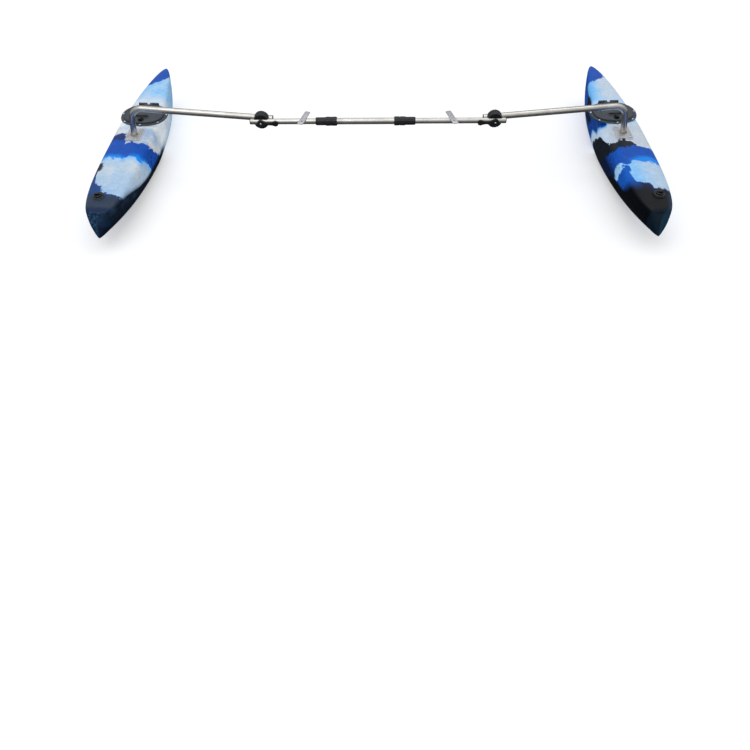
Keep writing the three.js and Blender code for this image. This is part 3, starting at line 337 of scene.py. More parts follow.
class Look:
    """A node material that is built step by step. A colour is red, green and blue, 0 to 255."""

    def __init__(self, name, **values):
        self.material = bpy.data.materials.new(name)
        self.material.use_nodes = True
        self.tree = self.material.node_tree
        self.shader = self.tree.nodes["Principled BSDF"]
        for key, value in values.items():
            self.shader.inputs[key].default_value = value
        self.place = self.node("ShaderNodeTexCoord").outputs["Object"]

    def node(self, kind, inputs=None, **settings):
        """A node with its settings, and with a value or a link in each input that is given."""
        made = self.tree.nodes.new(kind)
        for key, value in settings.items():
            setattr(made, key, value)
        for key, value in (inputs or {}).items():
            self.feed(made.inputs[key], value)
        return made

    def feed(self, socket, value):
        if isinstance(value, bpy.types.NodeSocket):
            self.tree.links.new(value, socket)
        elif isinstance(value, tuple):
            socket.default_value = (*map(linear, value), 1)
        else:
            socket.default_value = value

    def set(self, name, value):
        self.feed(self.shader.inputs[name], value)

    def math(self, operation, *values):
        return self.node("ShaderNodeMath", dict(enumerate(values)), operation=operation).outputs[0]

    def plus(self, first, second):
        return self.math("ADD", first, second)

    def minus(self, first, second):
        return self.math("SUBTRACT", first, second)

    def times(self, first, *others):
        for other in others:
            first = self.math("MULTIPLY", first, other)
        return first

    def noise(self, scale, detail=3, roughness=0.55, stretch=None):
        place = self.place
        if stretch:
            mapping = self.node("ShaderNodeMapping", {"Vector": place})
            mapping.inputs["Scale"].default_value = stretch
            place = mapping.outputs[0]
        inputs = {"Vector": place, "Scale": scale, "Detail": detail, "Roughness": roughness}
        return self.node("ShaderNodeTexNoise", inputs).outputs[0]

    def carried(self, value, *ends, kind="LINEAR"):
        """A value carried from one range to another, whose ends are given one after another."""
        inputs = dict(zip(("Value", "From Min", "From Max", "To Min", "To Max"), (value, *ends)))
        return self.node("ShaderNodeMapRange", inputs, interpolation_type=kind).outputs[0]

    def mask(self, value, start, end):
        """0 up to start and 1 from end, smooth between them. Start may be the larger."""
        return self.carried(value, start, end, kind="SMOOTHSTEP")

    def patches(self, scale, detail, start, end, roughness=0.55):
        """Patches of 1 on 0, cut from a noise."""
        return self.mask(self.noise(scale, detail, roughness), start, end)

    def spread(self, noise, low, high):
        """A noise spread from low to high."""
        return self.carried(noise, 0.3, 0.7, low, high)

    def mix(self, share, first, second, blend="MIX"):
        inputs = {"Factor": share, 6: first, 7: second}
        return self.node("ShaderNodeMix", inputs, data_type="RGBA", blend_type=blend).outputs[2]

    def layered(self, colour, *layers):
        """A colour with others laid over it one after another, as (share, colour) pairs."""
        for share, over in layers:
            colour = self.mix(share, colour, over)
        return colour

    def bump(self, height, strength, distance):
        inputs = {"Strength": strength, "Distance": distance, "Height": height}
        self.set("Normal", self.node("ShaderNodeBump", inputs).outputs[0])


def moulded_plastic(name, slot, colour, dusty, rough_low, rough_high, gloss=0.4, grain=1400):
    """Satin moulded plastic: fine grain, faint dust and worn, smoother spots."""
    look = Look(name, **{"Specular IOR Level": gloss})
    look.set("Base Color", look.mix(look.spread(look.noise(35, 4), 0, 1), colour, dusty))
    look.set("Roughness", look.spread(look.noise(90), rough_low, rough_high))
    look.bump(look.noise(grain, 2), 0.12, 0.0002)
    return look.material, slot


def polished_steel(name, tint, dull, rough_low, rough_high, stretch, grain):
    """Steel with fine drawing or brushing marks along one direction."""
    look = Look(name, Metallic=0.92)
    marks = look.noise(grain, 3, 0.6, stretch)
    look.set("Base Color", look.mix(look.spread(look.noise(18), 0, 1), tint, dull))
    look.set("Roughness", look.spread(marks, rough_low, rough_high))
    look.bump(marks, 0.1, 0.0001)
    return look.material, "steel"


def weld_steel():
    """Bead of weld: grey steel with straw and brown heat colours."""
    look = Look("heat_tinted_weld", Metallic=1, Roughness=0.42)
    tint = look.mix(look.spread(look.noise(120), 0, 1), (172, 164, 150), (112, 98, 82))
    look.set("Base Color", tint)
    look.bump(look.noise(420, 2), 0.5, 0.0006)
    return look.material, "steel"


# Mottled float plastic. The two marks on the hull's mesh say where a point lies: millimetres along
# the hull from its middle towards the stern, and degrees round it from the middle of the deck,
# negative on the inboard side and 180 at the keel.
ALONG_REACH = 600


class FloatLook(Look):
    def __init__(self, name):
        super().__init__(name, **{"Specular IOR Level": 0.16})
        self.along = self.mark("along")
        self.degrees = self.mark("girth")
        self.round_share = self.math("DIVIDE", self.plus(self.degrees, 180), 360)
        ragged = self.plus(self.lump(24, 34), self.lump(75, 18))
        self.ragged = self.plus(self.along, self.plus(ragged, self.lump(300, 10)))
        self.smooth = self.plus(self.along, self.lump(16, 26))

    def mark(self, name):
        return self.node("ShaderNodeAttribute", attribute_name=name).outputs["Fac"]

    def lump(self, scale, reach):
        """A noise that pushes a border up to about reach millimetres either way."""
        return self.times(self.minus(self.noise(scale, 2), 0.5), 2 * reach)

    def border(self, points):
        """Where a border lies along the hull, from (degrees round, millimetres along) pairs."""
        curve = self.node("ShaderNodeFloatCurve", {"Value": self.round_share})
        line = curve.mapping.curves[0]
        rows = [((g + 180) / 360, (s + ALONG_REACH) / (2 * ALONG_REACH)) for g, s in points]
        while len(line.points) < len(rows):
            line.points.new(0.5, 0.5)
        for point, row in zip(line.points, sorted(rows)):
            point.location = row
            point.handle_type = "AUTO_CLAMPED"
        curve.mapping.update()
        return self.minus(self.times(curve.outputs[0], 2 * ALONG_REACH), ALONG_REACH)

    def past(self, border):
        """1 on the stern side of a border with a ragged edge, and 0 on its bow side."""
        return self.mask(self.minus(self.ragged, border), -2.5, 2.5)

    def fading(self, border, soft, offset):
        """The same with a soft edge, moved offset millimetres towards the stern."""
        return self.mask(self.minus(self.smooth, border), offset - soft, offset + soft)

    def spot(self, along, degrees, half_length, half_degrees, soft=0.25):
        """1 inside an oval patch and 0 outside it."""
        length = self.math("DIVIDE", self.minus(self.ragged, along), half_length)
        across = self.math("DIVIDE", self.minus(self.degrees, degrees), half_degrees)
        squares = self.plus(self.times(length, length), self.times(across, across))
        return self.mask(squares, 1 + soft, 1 - soft)

    def side(self, start, end):
        """0 up to start degrees round the hull and 1 from end. Start may be the larger."""
        return self.mask(self.degrees, start, end)

    def finish(self, colour):
        """The material, with clouds, washes and specks over its colour."""
        cloud = self.times(self.patches(30, 5, 0.42, 0.66, 0.65), 0.3)
        wash = self.times(self.patches(70, 4, 0.46, 0.62, 0.7), 0.16)
        speck = self.times(self.patches(420, 3, 0.57, 0.66, 0.6), 0.1)
        colour = self.mix(cloud, colour, (226, 236, 246), "SOFT_LIGHT")
        colour = self.mix(wash, colour, (28, 92, 160), "SOFT_LIGHT")
        self.set("Base Color", self.mix(speck, colour, (10, 40, 80)))
        self.set("Roughness", self.spread(self.noise(60), 0.24, 0.38))
        self.bump(self.noise(260, 2), 0.06, 0.0006)
        return self.material, "float_plastic"


DEEP_BLUE = (0, 74, 170)
BRIGHT_BLUE = (0, 128, 228)
STRIP_BLUE = (0, 82, 178)
HATCH_BLUE = (0, 66, 150)
HALO_BLUE = (84, 158, 230)
LIGHT_BLUE = (122, 186, 240)
BLACK = (3, 7, 12)


def left_float_look():
    look = FloatLook("mottled_float_left")
    along, smooth = look.along, look.smooth
    mask, side, times = look.mask, look.side, look.times
    pale_low = look.border([
        (-180, -120), (-125, -138), (-112, -199), (-95, -285), (-69, -376), (-57, -426), (-44, -446),
        (-23, -439), (-3, -426), (20, -389), (32, -357), (38, -291), (46, -230), (70, -250), (180, -260),
    ])
    band_low = look.border([
        (-180, -60), (-127, -77), (-113, -138), (-96, -152), (-64, -173), (-43, -203), (-30, -193),
        (-18, -194), (-10, -214), (8, -197), (22, -199), (36, -206), (60, -215), (180, -200),
    ])
    band_top = look.border([
        (-180, 60), (-130, 10), (-105, -26), (-78, -56), (-56, -84), (-41, -95), (-22, -90), (5, -90),
        (10, -45), (23, -30), (34, -32), (45, -54), (90, -40), (180, -20),
    ])
    tip = look.border([
        (-180, 500), (-118, 490), (-49, 471), (-34, 438), (-18, 423), (-6, 408), (11, 401), (22, 377),
        (60, 365), (180, 350),
    ])
    inboard = side(-44, -58)
    flecks = times(look.patches(150, 4, 0.48, 0.6, 0.7), side(-80, 10), 0.34)
    bow = look.layered(
        # The grey-blue ground here is a painted sheen on the rounded top of the bow.
        (42, 56, 74),
        (mask(along, -470, -410), (22, 62, 118)),
        (mask(along, -500, -522), (8, 34, 66)),
        (inboard, look.mix(look.patches(14, 3, 0.4, 0.62), (12, 24, 38), (24, 48, 72))),
        (mask(along, -528, -542), look.mix(flecks, (4, 32, 56), (70, 124, 170))),
    )
    shaded_patch_edge = mask(look.minus(smooth, pale_low), 70, -6)
    patch = look.layered(
        (198, 206, 212),
        (look.patches(12, 3, 0.38, 0.62), (178, 198, 216)),
        (times(look.patches(110, 5, 0.45, 0.62, 0.75), 0.42), (146, 184, 220)),
        (look.fading(band_low, 22, -20), (130, 186, 238)),
        (times(mask(along, -270, -400), 0.4), (110, 168, 220)),
        # Painted shade with a grey sheen: the pale patch turns grey-blue on the inboard side near its bow
        # border.
        (times(shaded_patch_edge, inboard, 0.75), (60, 84, 108)),
    )
    deck_edge = look.mix(look.past(pale_low), bow, patch)
    side_edge = look.mix(look.fading(pale_low, 14, 4), bow, patch)
    band = look.layered(
        BRIGHT_BLUE,
        (look.fading(band_low, 18, 22), DEEP_BLUE),
        (side(-50, -70), DEEP_BLUE),
    )
    inner_blue = times(look.patches(13, 3, 0.42, 0.6, 0.6), mask(smooth, 60, -10))
    middle = look.layered(
        (214, 217, 218),
        (mask(smooth, 10, 60), (234, 241, 247)),
        (mask(smooth, 110, 190), (204, 216, 230)),
        (times(inner_blue, 0.75), (134, 172, 212)),
        (mask(smooth, 225, 300), (138, 192, 238)),
        (times(look.patches(20, 4, 0.5, 0.62), 0.5), (184, 204, 224)),
        (times(side(50, 68), look.patches(9, 4, 0.42, 0.62), 0.7), (146, 188, 228)),
        # Painted light: the lower inboard side is lightened so that it reads as lit as the deck.
        (times(side(-88, -112), 0.6), (184, 212, 232)),
    )
    return look.finish(look.layered(
        look.mix(inboard, deck_edge, side_edge),
        (look.spot(-268, 50, 44, 21), (22, 34, 48)),
        (look.past(band_low), band),
        (times(look.spot(-48, 30, 30, 22, 0.6), 0.85), (18, 38, 84)),
        (look.past(band_top), middle),
        (times(side(-98, -116), mask(smooth, 120, 20)), (2, 18, 38)),
        (look.past(tip), DEEP_BLUE),
    ))


def right_float_look():
    look = FloatLook("mottled_float_right")
    along, smooth = look.along, look.smooth
    mask, side, times = look.mask, look.side, look.times
    blue_low = look.border([
        (-180, -160), (-121, -200), (-104, -276), (-87, -339), (-62, -365), (-50, -375), (-36, -389),
        (-17, -401), (-3, -425), (8, -436), (28, -428), (41, -440), (180, -450),
    ])
    light_low = look.border([
        (-180, -60), (-121, -110), (-100, -190), (-91, -245), (-87, -276), (-66, -277), (-47, -275),
        (-42, -262), (-38, -256), (-34, -258), (-32, -330), (-29, -366), (-22, -373), (-1, -384),
        (6, -414), (28, -418), (41, -428), (180, -440),
    ])
    band_low = look.border([
        (-180, -120), (-121, -175), (-100, -232), (-90, -250), (-76, -238), (-60, -235), (-44, -243),
        (-17, -245), (0, -243), (24, -248), (45, -268), (180, -290),
    ])
    band_top = look.border([
        (-180, -60), (-109, -83), (-80, -101), (-43, -153), (-28, -142), (-8, -135), (18, -133),
        (36, -151), (60, -165), (180, -175),
    ])
    charcoal_top = look.border([
        (-180, 90), (-106, 65), (-80, 37), (-59, -3), (-53, -54), (-44, -102), (-35, -103), (-22, -95),
        (1, -96), (9, -121), (15, -131), (24, -142), (36, -156), (60, -170), (180, -180),
    ])
    side_blue = look.border([
        (-180, 100), (-124, 125), (-109, 121), (-90, 120), (-62, 55), (-57, 60), (-54, 200), (-51, 590),
        (180, 590),
    ])
    front_blue = look.border([
        (-180, 590), (-76, 90), (-63, 62), (-50, 38), (-38, 24), (-34, 30), (-31, 70), (-29, 590),
        (180, 590),
    ])
    tip = look.border([
        (-180, 300), (-93, 305), (-62, 318), (-55, 330), (-52, 386), (-35, 387), (-12, 403), (18, 419),
        (35, 436), (60, 440), (180, 450),
    ])
    bow = look.layered(
        BLACK,
        # Painted sheen: the outboard side of the bow near its tip is lightened from black to grey-teal.
        (times(side(26, 44), mask(smooth, -430, -470)), (22, 44, 72)),
        (mask(along, -530, -542), look.mix(side(8, 60), (2, 22, 36), (8, 44, 62))),
    )
    rim = look.layered(
        STRIP_BLUE,
        (side(-32, -14), (0, 30, 82)),
        (side(-74, -98), BLACK),
    )
    patch = look.layered(
        LIGHT_BLUE,
        (side(-30, 24), (174, 194, 214)),
        (times(look.patches(90, 5, 0.46, 0.6, 0.75), 0.5), (160, 200, 236)),
        (side(-36, -44), (152, 198, 236)),
    )
    band = look.layered(
        BRIGHT_BLUE,
        (look.fading(band_low, 20, 26), DEEP_BLUE),
        (side(-5, -30), DEEP_BLUE),
        (side(-44, -96), (0, 22, 60)),
    )
    streaks = times(look.patches(16, 4, 0.45, 0.6), 0.35)
    stern = look.layered(
        LIGHT_BLUE,
        (look.plus(side(-44, 14), streaks), (188, 204, 220)),
        (side(-20, -54), (100, 176, 236)),
    )
    middle = look.layered(
        (190, 200, 212),
        (mask(smooth, 0, 44), (176, 208, 240)),
        (side(-30, -52), (196, 218, 242)),
        (times(side(48, 66), look.patches(9, 4, 0.42, 0.62), 0.8), (196, 204, 214)),
        (mask(smooth, 190, 260), stern),
    )
    near_hatch = mask(smooth, 150, 120)
    return look.finish(look.layered(
        bow,
        (look.fading(blue_low, 34, 12), rim),
        (look.past(light_low), patch),
        (look.spot(-279, -31.5, 24, 4.5), STRIP_BLUE),
        (look.past(band_low), band),
        (look.past(band_top), (20, 28, 36)),
        (look.past(charcoal_top), middle),
        (times(look.fading(front_blue, 16, -12), near_hatch), HALO_BLUE),
        (times(look.fading(front_blue, 7, 0), near_hatch), HATCH_BLUE),
        (times(look.fading(side_blue, 16, -14), mask(smooth, 10, 30)), HALO_BLUE),
        (look.fading(side_blue, 7, 0), HATCH_BLUE),
        (look.spot(262, -80, 84, 32), (20, 28, 38)),
        (look.past(tip), DEEP_BLUE),
    ))


# Crossbar pieces, along x from the boat's middle outwards
def tube_between(r, start, end):
    bore = r - TUBE_WALL
    profile = [
        (r - 0.3, start), (r, start + 0.3), (r, end - 0.3), (r - 0.3, end),
        (bore + 0.2, end), (bore, end - 0.2), (bore, start + 0.2), (bore + 0.2, start),
    ]
    return moved(turned(profile, True), TO_X)


def end_plug(radius):
    """Domed plug: a flange with a soft rim, and a stem in the tube."""
    bore = radius - TUBE_WALL - SEAT_GAP
    profile = [
        (bore - 0.8, -18.3), (bore, -17.3), (bore, 0.2), (radius - 0.2, 0.2), (radius, 0.6),
        (radius, 1.4), (radius - 0.5, 2.1), (radius - 1.6, 2.4), (radius * 0.5, 2.5), (1, 2.5),
    ]
    return moved(turned(profile), TO_X)


def ribbed_sleeve(rows):
    """A hollow turned shape with ribs, from (radius, rib depth, place along x) rows."""
    return moved(stack([(ribbed(r, depth, COUPLER_RIBS), x) for r, depth, x in rows], True), TO_X)


def coupler_body():
    return ribbed_sleeve([
        (15.0, 0, -44), (16.4, 0.2, -43.4), (17.2, 0.4, -41.5), (17.5, 1, -39.5), (17.5, 1, -24.5),
        (17.3, 0.5, -23.4), (16.4, 0, -22.6), (16.4, 0, -19.4), (17.3, 0.5, -18.6), (17.5, 1, -17.5),
        (17.5, 1, -3), (17.1, 0.4, -1.2), (16.5, 0, 0), (16.5, 0, 2.6), (16.0, 0, 3), (13.6, 0, 3),
        (13.6, 0, 24), (11.5, 0, 24), (11.5, 0, 0.3), (12.8, 0, 0.3), (12.8, 0, -44),
    ])


def coupler_nut():
    sleeve = ribbed_sleeve([
        (14.2, 0, 3.3), (15.2, 0, 3.6), (15.6, 0, 4.6), (15.6, 0, 9), (15.6, 0.8, 11), (15.6, 1, 13),
        (15.6, 1, 36), (15.4, 0.6, 38), (15.0, 0.2, 40), (13.8, 0, 42.3), (11.5, 0, 42.3), (11.5, 0, 36.3),
        (14.0, 0, 36.3), (14.0, 0, 3.3),
    ])
    notch = rounded_plate(8, 5, 1.5, 14.4, 19, 0.3)
    return cut(sleeve, *[moved(notch, turn("X", 60 * k) @ shift(3.3, 0, 0)) for k in range(6)])


def screw_head(radius, height):
    """Domed screw head with a cross recess, on the plane z = 0."""
    profile = [
        (radius - 0.2, 0), (radius, 0.2), (radius, 0.35 * height), (0.9 * radius, 0.7 * height),
        (0.6 * radius, 0.95 * height), (0.2 * radius, height),
    ]
    slot = rounded_plate(radius, 0.3 * radius, 0.1, 0.45 * height, 1.5 * height, 0.05)
    return cut(turned(profile, sides=40), slot, moved(slot, turn("Z", 90)))


def screw(head_radius, head_height, seat, shank):
    """A screw whose head sits at the height of its seat."""
    return joined(at(screw_head(head_radius, head_height), 0, 0, seat), shank)


def strap():
    """Flat strap with soft edges, two countersunk holes and a middle hole."""
    plate = rounded_plate(23, 97, 4, 0, STRAP_THICKNESS, 0.5)
    sink = turned([(3.2, 1.7), (4.4, 2.6), (4.4, 4)], sides=48)
    holes = [at(rod(3.25, -2, 5, 0), 0, y, 0) for y in STRAP_HOLES]
    sinks = [at(sink, 0, y, 0) for y in STRAP_HOLES]
    return cut(plate, *holes, *sinks, rod(SCREW_HOLE_RADIUS, -2, 5, 0))


# Knuckle pieces, about the pivot, with y measured from the inner tube's axis
def knuckle_half(front, back, tube_radius, tube_aft):
    """A ribbed disc with a groove for a tube and a hole for the bolt."""
    edge = ((2.2, 0), (0.9, 0.5), (0.2, 1.6), (0, 3))
    levels = [(inset, front + depth) for inset, depth in edge]
    levels += [(inset, back - depth) for inset, depth in reversed(edge)]
    rows = []
    for inset, y in levels:
        depth = max(KNUCKLE_RIB_DEPTH - inset, 0)
        rows.append((ribbed(KNUCKLE_RADIUS - inset, depth, KNUCKLE_RIBS), y))
    reach = 2 * KNUCKLE_RADIUS
    groove = moved(rod(tube_radius + SEAT_GAP, -reach, reach, 0, 64), shift(0, tube_aft, 0) @ TO_X)
    return cut(moved(stack(rows), TO_Y), groove, moved(rod(BOLT_HOLE_RADIUS, -reach, reach, 0), TO_Y))


def pivot_bolt():
    """Hexagon bolt with a domed end."""
    profile = [(0.3, -22.3), (1.6, -22.1), (2.8, -21.5), (3.6, -20.7), (4, -19.7), (4, 48.4), (3.4, 49)]
    return moved(joined(rod(7.5, 43.7, 49, 0.7, 6), turned(profile, sides=40)), TO_Y)


def pivot_washer():
    profile = [(4.3, 41.8), (8.8, 41.8), (9, 42), (9, 43.2), (8.8, 43.4), (4.3, 43.4)]
    return moved(turned(profile, True), TO_Y)


def clamp_lever():
    """Teardrop lever: round head, waisted neck and a bulb with a finger dimple."""
    stations = [
        (-71.5, 0), (-70.2, 5.4), (-66.5, 9.2), (-60, 11.3), (-53.5, 9.6), (-47, 7.2), (-38, 6.1),
        (-28, 6.2), (-20, 7.4), (-13.5, 10.2), (-8, 13.1), (0, 15), (7.8, 12.8), (13, 7.5), (15, 0),
    ]
    curve = smooth_loop([(x, -z) for x, z in stations] + stations[-2:0:-1], 96)
    upright = turn("X", 90)
    lever = moved(prism(lambda inset: inset_loop(curve, inset), LEVER_BACK, LEVER_FRONT, 1.6), upright)
    dimple = turned([(7.5, LEVER_FRONT - 1.2), (8.6, LEVER_FRONT + 1.2)], sides=48)
    dimple = moved(dimple, shift(-LEVER_BULB_FROM_PIVOT, 0, 0) @ upright)
    boss = moved(turned([(10, LEVER_FRONT - 0.9), (11, LEVER_FRONT + 1.2)]), upright)
    return cut(lever, dimple, boss, moved(rod(BOLT_HOLE_RADIUS, -30, 30, 0), TO_Y))


def smooth_loop(points, count):
    """A closed smooth curve through points, as count points."""
    points = np.array(points)
    made = []
    for k in range(count):
        share = k * len(points) / count
        i, t = int(share), share - int(share)
        a, b, c, d = (points[(i + step) % len(points)] for step in (-1, 0, 1, 2))
        bend = 2 * a - 5 * b + 4 * c - d
        twist = 3 * b - a - 3 * c + d
        made.append(tuple(0.5 * (2 * b + (c - a) * t + bend * t * t + twist * t ** 3)))
    return made


def inset_loop(points, inset):
    """A closed outline moved inwards by inset."""
    made = []
    for k, (x, y) in enumerate(points):
        (ax, ay), (bx, by) = points[k - 1], points[(k + 1) % len(points)]
        size = hypot(bx - ax, by - ay) or 1
        made.append((x - inset * (by - ay) / size, y + inset * (bx - ax) / size))
    return made


# Arm pieces, about the pivot in the plane of the arm
def arm_tube():
    bend_angle = pi / 2 - LEG_LEAN
    bend_start = ARM_RUN - ARM_BEND_RADIUS * tan(bend_angle / 2)
    stations = [(-TUBE_END_FROM_PIVOT, 0, 0)]
    for a in np.linspace(0, bend_angle, 25):
        x = bend_start + ARM_BEND_RADIUS * sin(a)
        stations.append((x, ARM_BEND_RADIUS * (cos(a) - 1), a))
    end_x = FOOT[0] + ARM_TUBE_RADIUS * sin(LEG_LEAN)
    stations.append((end_x, FOOT[2] - ARM_TUBE_RADIUS * cos(LEG_LEAN), bend_angle))
    rings = []
    for radius, step in ((ARM_TUBE_RADIUS, 1), (ARM_TUBE_RADIUS - TUBE_WALL, -1)):
        for x, z, a in stations[::step]:
            rings.append([(x + sin(a) * c, s, z + cos(a) * c) for c, s in circle(radius, 48)])
    below = rounded_plate(80, 100, 5, -60, SEAT_GAP, 0)
    return cut(loft(rings, True), moved(below, shift(*FOOT) @ turn("Y", ARM_RISE)))


def weld_bead():
    """A bead round the slightly oval foot of the leg, in short overlapping ripples, on the plate."""
    rings = []
    for a in angles(144):
        ripple = 1 + 0.04 * sin(34 * a) + 0.05 * sin(7 * a + 1)
        ring = []
        for c, s in circle(2.6 * ripple, 14):
            reach = ARM_TUBE_RADIUS + 0.7 + c
            ring.append((reach * 1.004 * cos(a), reach * sin(a), 0.9 + 0.75 * s))
        rings.append(ring)
    points, faces = loft(rings, True)
    return [(x, y, max(z, 0.02)) for x, y, z in points], faces


def plate_holes(z0, z1, sides=48):
    return [at(rod(SCREW_HOLE_RADIUS, z0, z1, 0, sides), x, y, 0) for x, y in PLATE_SCREWS]


def base_plate():
    return cut(rounded_plate(PLATE_WIDTH, PLATE_LENGTH, 5, -PLATE_THICKNESS, 0, 0.5), *plate_holes(-6, 3))


# Float hull, about its own middle at the height of the sheer line
def between(start, end, share):
    return start + (end - start) * share


def hull_station(share, trim=0.0):
    """The hull's section at a share of its half-length, from -1 at the bow to 1 at the stern."""
    reach = np.minimum(np.abs(share), 1)
    bow = share < 0
    nose = np.where(bow, NOSE_HALF_WIDTH - trim, 0)
    fullness = (1 - reach ** np.where(bow, BOW_FULLNESS, STERN_FULLNESS)) ** 0.58
    deep = np.where(bow, between(1, BOW_DRAFT_SHARE, reach ** 1.4), 1 - reach ** 6)
    return {
        "beam": between(nose, HULL_HALF_BEAM - trim, fullness),
        "rise": (HULL_CROWN - trim) * (1 - reach ** 4),
        "draft": (HULL_DEPTH - trim) * deep,
        "roundness": between(4.6, 1.8, reach ** 2),
        "rake": np.where(bow, BOW_RAKE * reach ** 4, 0),
    }


def hull_ring(share, half_length, trim, inset):
    """One ring of the hull, drawn inwards by inset for the rounded bow edge."""
    station = hull_station(share, trim)
    spots = np.arange(2 * HALF_RING_STEPS + 1) * pi / HALF_RING_STEPS
    c, s = np.cos(spots), np.sin(spots)
    power = 2 / np.where(s > 0, DECK_POWER, station["roundness"])
    level = abs(s) ** power
    x = (station["beam"] - inset) * np.sign(c) * abs(c) ** power
    z = np.where(s > 0, station["rise"], -station["draft"]) * level
    y = half_length * share - np.where(s > 0, 0, station["rake"] * level)
    middle = -0.4 * station["draft"]
    z = np.where(z > middle, middle + (z - middle) * (1 - inset / (0.5 * station["draft"])), z)
    return np.stack([x, y, z], axis=1)


def even_ring(ring):
    """The ring with evenly spread points on its deck half and its lower half, its corners softened."""
    halves = []
    for half, count in ((ring[:HALF_RING_STEPS + 1], DECK_SPOTS), (ring[HALF_RING_STEPS:], KEEL_SPOTS)):
        steps = np.linalg.norm(np.diff(half, axis=0), axis=1)
        reach = np.concatenate([[0], np.cumsum(steps)])
        wanted = np.arange(count) / count * reach[-1]
        halves.append(np.stack([np.interp(wanted, reach, half[:, k]) for k in range(3)], axis=1))
    even = np.concatenate(halves)
    for _ in range(RING_SOFTENINGS):
        even = 0.5 * even + 0.25 * (np.roll(even, 1, axis=0) + np.roll(even, -1, axis=0))
    return even


def hull_body(stations, trim=0.0, end_trim=0.0, rounding=0.0):
    """The closed hull, made smaller by the trims, with its bow edge rounded."""
    half_length = HULL_HALF_LENGTH - end_trim
    rows = []
    for a in np.arange(6 if rounding else 0) * pi / 12:
        start = rounding * (1 - cos(a))
        rows.append(((start - half_length) / half_length, rounding * (1 - sin(a))))
    for i in range(stations + 1):
        share = min(sin(pi * (i / stations - 0.5)), 1 - 1e-5)
        if not rounding or half_length * (1 + share) > rounding + 0.5:
            rows.append((share, 0))
    rings = [even_ring(hull_ring(share, half_length, trim, inset)) for share, inset in rows]
    return loft(bow_face(rings[0]) + rings)


def bow_face(edge):
    """Rings that fill the raked bow face, from its middle out to its edge."""
    order = np.argsort(edge[:, 2])
    heights, lengths = edge[order, 2], edge[order, 1]
    middle = (heights[0] + heights[-1]) / 2
    rings = []
    for share in (0.04, 0.2, 0.4, 0.6, 0.8, 0.93):
        ring = edge * (share, 1, share) + (0, 0, middle * (1 - share))
        ring[:, 1] = np.interp(ring[:, 2], heights, lengths)
        rings.append(ring)
    return rings


def mark_hull(mesh, points):
    """Stores where each corner of a face lies along and round the hull."""
    x, along, z = np.asarray(points).T
    station = hull_station(along / HULL_HALF_LENGTH)
    below = GIRTH_MIDDLE_SHARE * np.maximum(station["draft"], 1)
    girth = np.degrees(np.arctan2(x / np.maximum(station["beam"], 1), (z + below) / below))
    corners = np.zeros(len(mesh.loops), np.int32)
    mesh.loops.foreach_get("vertex_index", corners)
    totals = np.zeros(len(mesh.polygons), np.int32)
    mesh.polygons.foreach_get("loop_total", totals)
    face_of = np.repeat(np.arange(len(totals)), totals)
    middle = np.bincount(face_of, x[corners]) / totals
    sign = np.where(middle[face_of] < 0, -1, 1)
    girth = girth[corners]
    across_keel = (np.abs(girth) > 90) & (np.sign(girth) != sign)
    girth = np.where(across_keel, sign * 180, girth)
    for name, values in (("along", along[corners]), ("girth", girth)):
        mark = mesh.attributes.new(name, "FLOAT", "CORNER")
        mark.data.foreach_set("value", values.astype(np.float32))


def drain_place():
    station = hull_station(DRAIN_ALONG_HULL / HULL_HALF_LENGTH)
    across = abs(DRAIN_OUTBOARD - HULL_PLACE[0]) / station["beam"]
    deck = station["rise"] * (1 - across ** DECK_POWER) ** (1 / DECK_POWER)
    place = shift(DRAIN_OUTBOARD, HULL_PLACE[1] + DRAIN_ALONG_HULL, HULL_PLACE[2] + deck)
    return place @ turn("Y", DRAIN_TILT)


def hatch_seat():
    """The moulded rim that carries the hatch, tapering in below its edge."""
    rows = [
        (84, 68, -13), (92, 75, -10.5), (97.5, 80, -6.5), (100.3, 82.4, -3), (101, 83, -1.2),
        (100.8, 82.8, -0.4), (100, 82, 0),
    ]
    return at(oval_stack(rows), *HATCH_PLACE)


def float_hull():
    """The hull about the middle of the base plate, with its bay, seat, pad and boss."""
    place = shift(*HULL_PLACE)
    hatch = shift(*HATCH_PLACE)
    drain = drain_place()
    outside = moved(hull_body(110, rounding=BOW_ROUNDING), place)
    inside = moved(hull_body(48, HULL_WALL, HULL_END_WALL), place)
    top = -PLATE_THICKNESS - SEAT_GAP
    pad_size = (PLATE_WIDTH + 2 * PAD_BORDER, PLATE_LENGTH + 2 * PAD_BORDER)
    pad = rounded_plate(*pad_size, 9, top - PAD_DEPTH, top, 1.6)
    boss = moved(turned([(27, -14), (26.5, -1.5), (25.6, 0.6), (24.4, DRAIN_BOSS_TOP)]), drain)
    skin = joined(outside, hatch_seat(), pad, boss)
    seat_inside = moved(oval_stack([(88, 71, -9.5), (96.5, 79, -3.5)]), hatch)
    mouth = moved(oval_stack([(79.5, 65.5, -8), (79.5, 65.5, 6)]), hatch)
    drain_hole = moved(rod(13.8, -30, 30, 0), drain)
    screw_holes = plate_holes(-PLATE_SCREW_LENGTH - SEAT_GAP, 3, 20)
    return cut(skin, inside, seat_inside, mouth, drain_hole, *screw_holes)


# Hatch pieces, about the middle of the seat's top
def hatch_screw_places():
    """All round the ring, apart from its middle on the hinge's side."""
    return [oval_point(93.6, 77.2, radians(a)) for a in (3, 47, 133, 177, 223, 270, 317)]


hinge_hole = moved(rod(2.3, -100, 100, 0, 24), HINGE_AXIS)


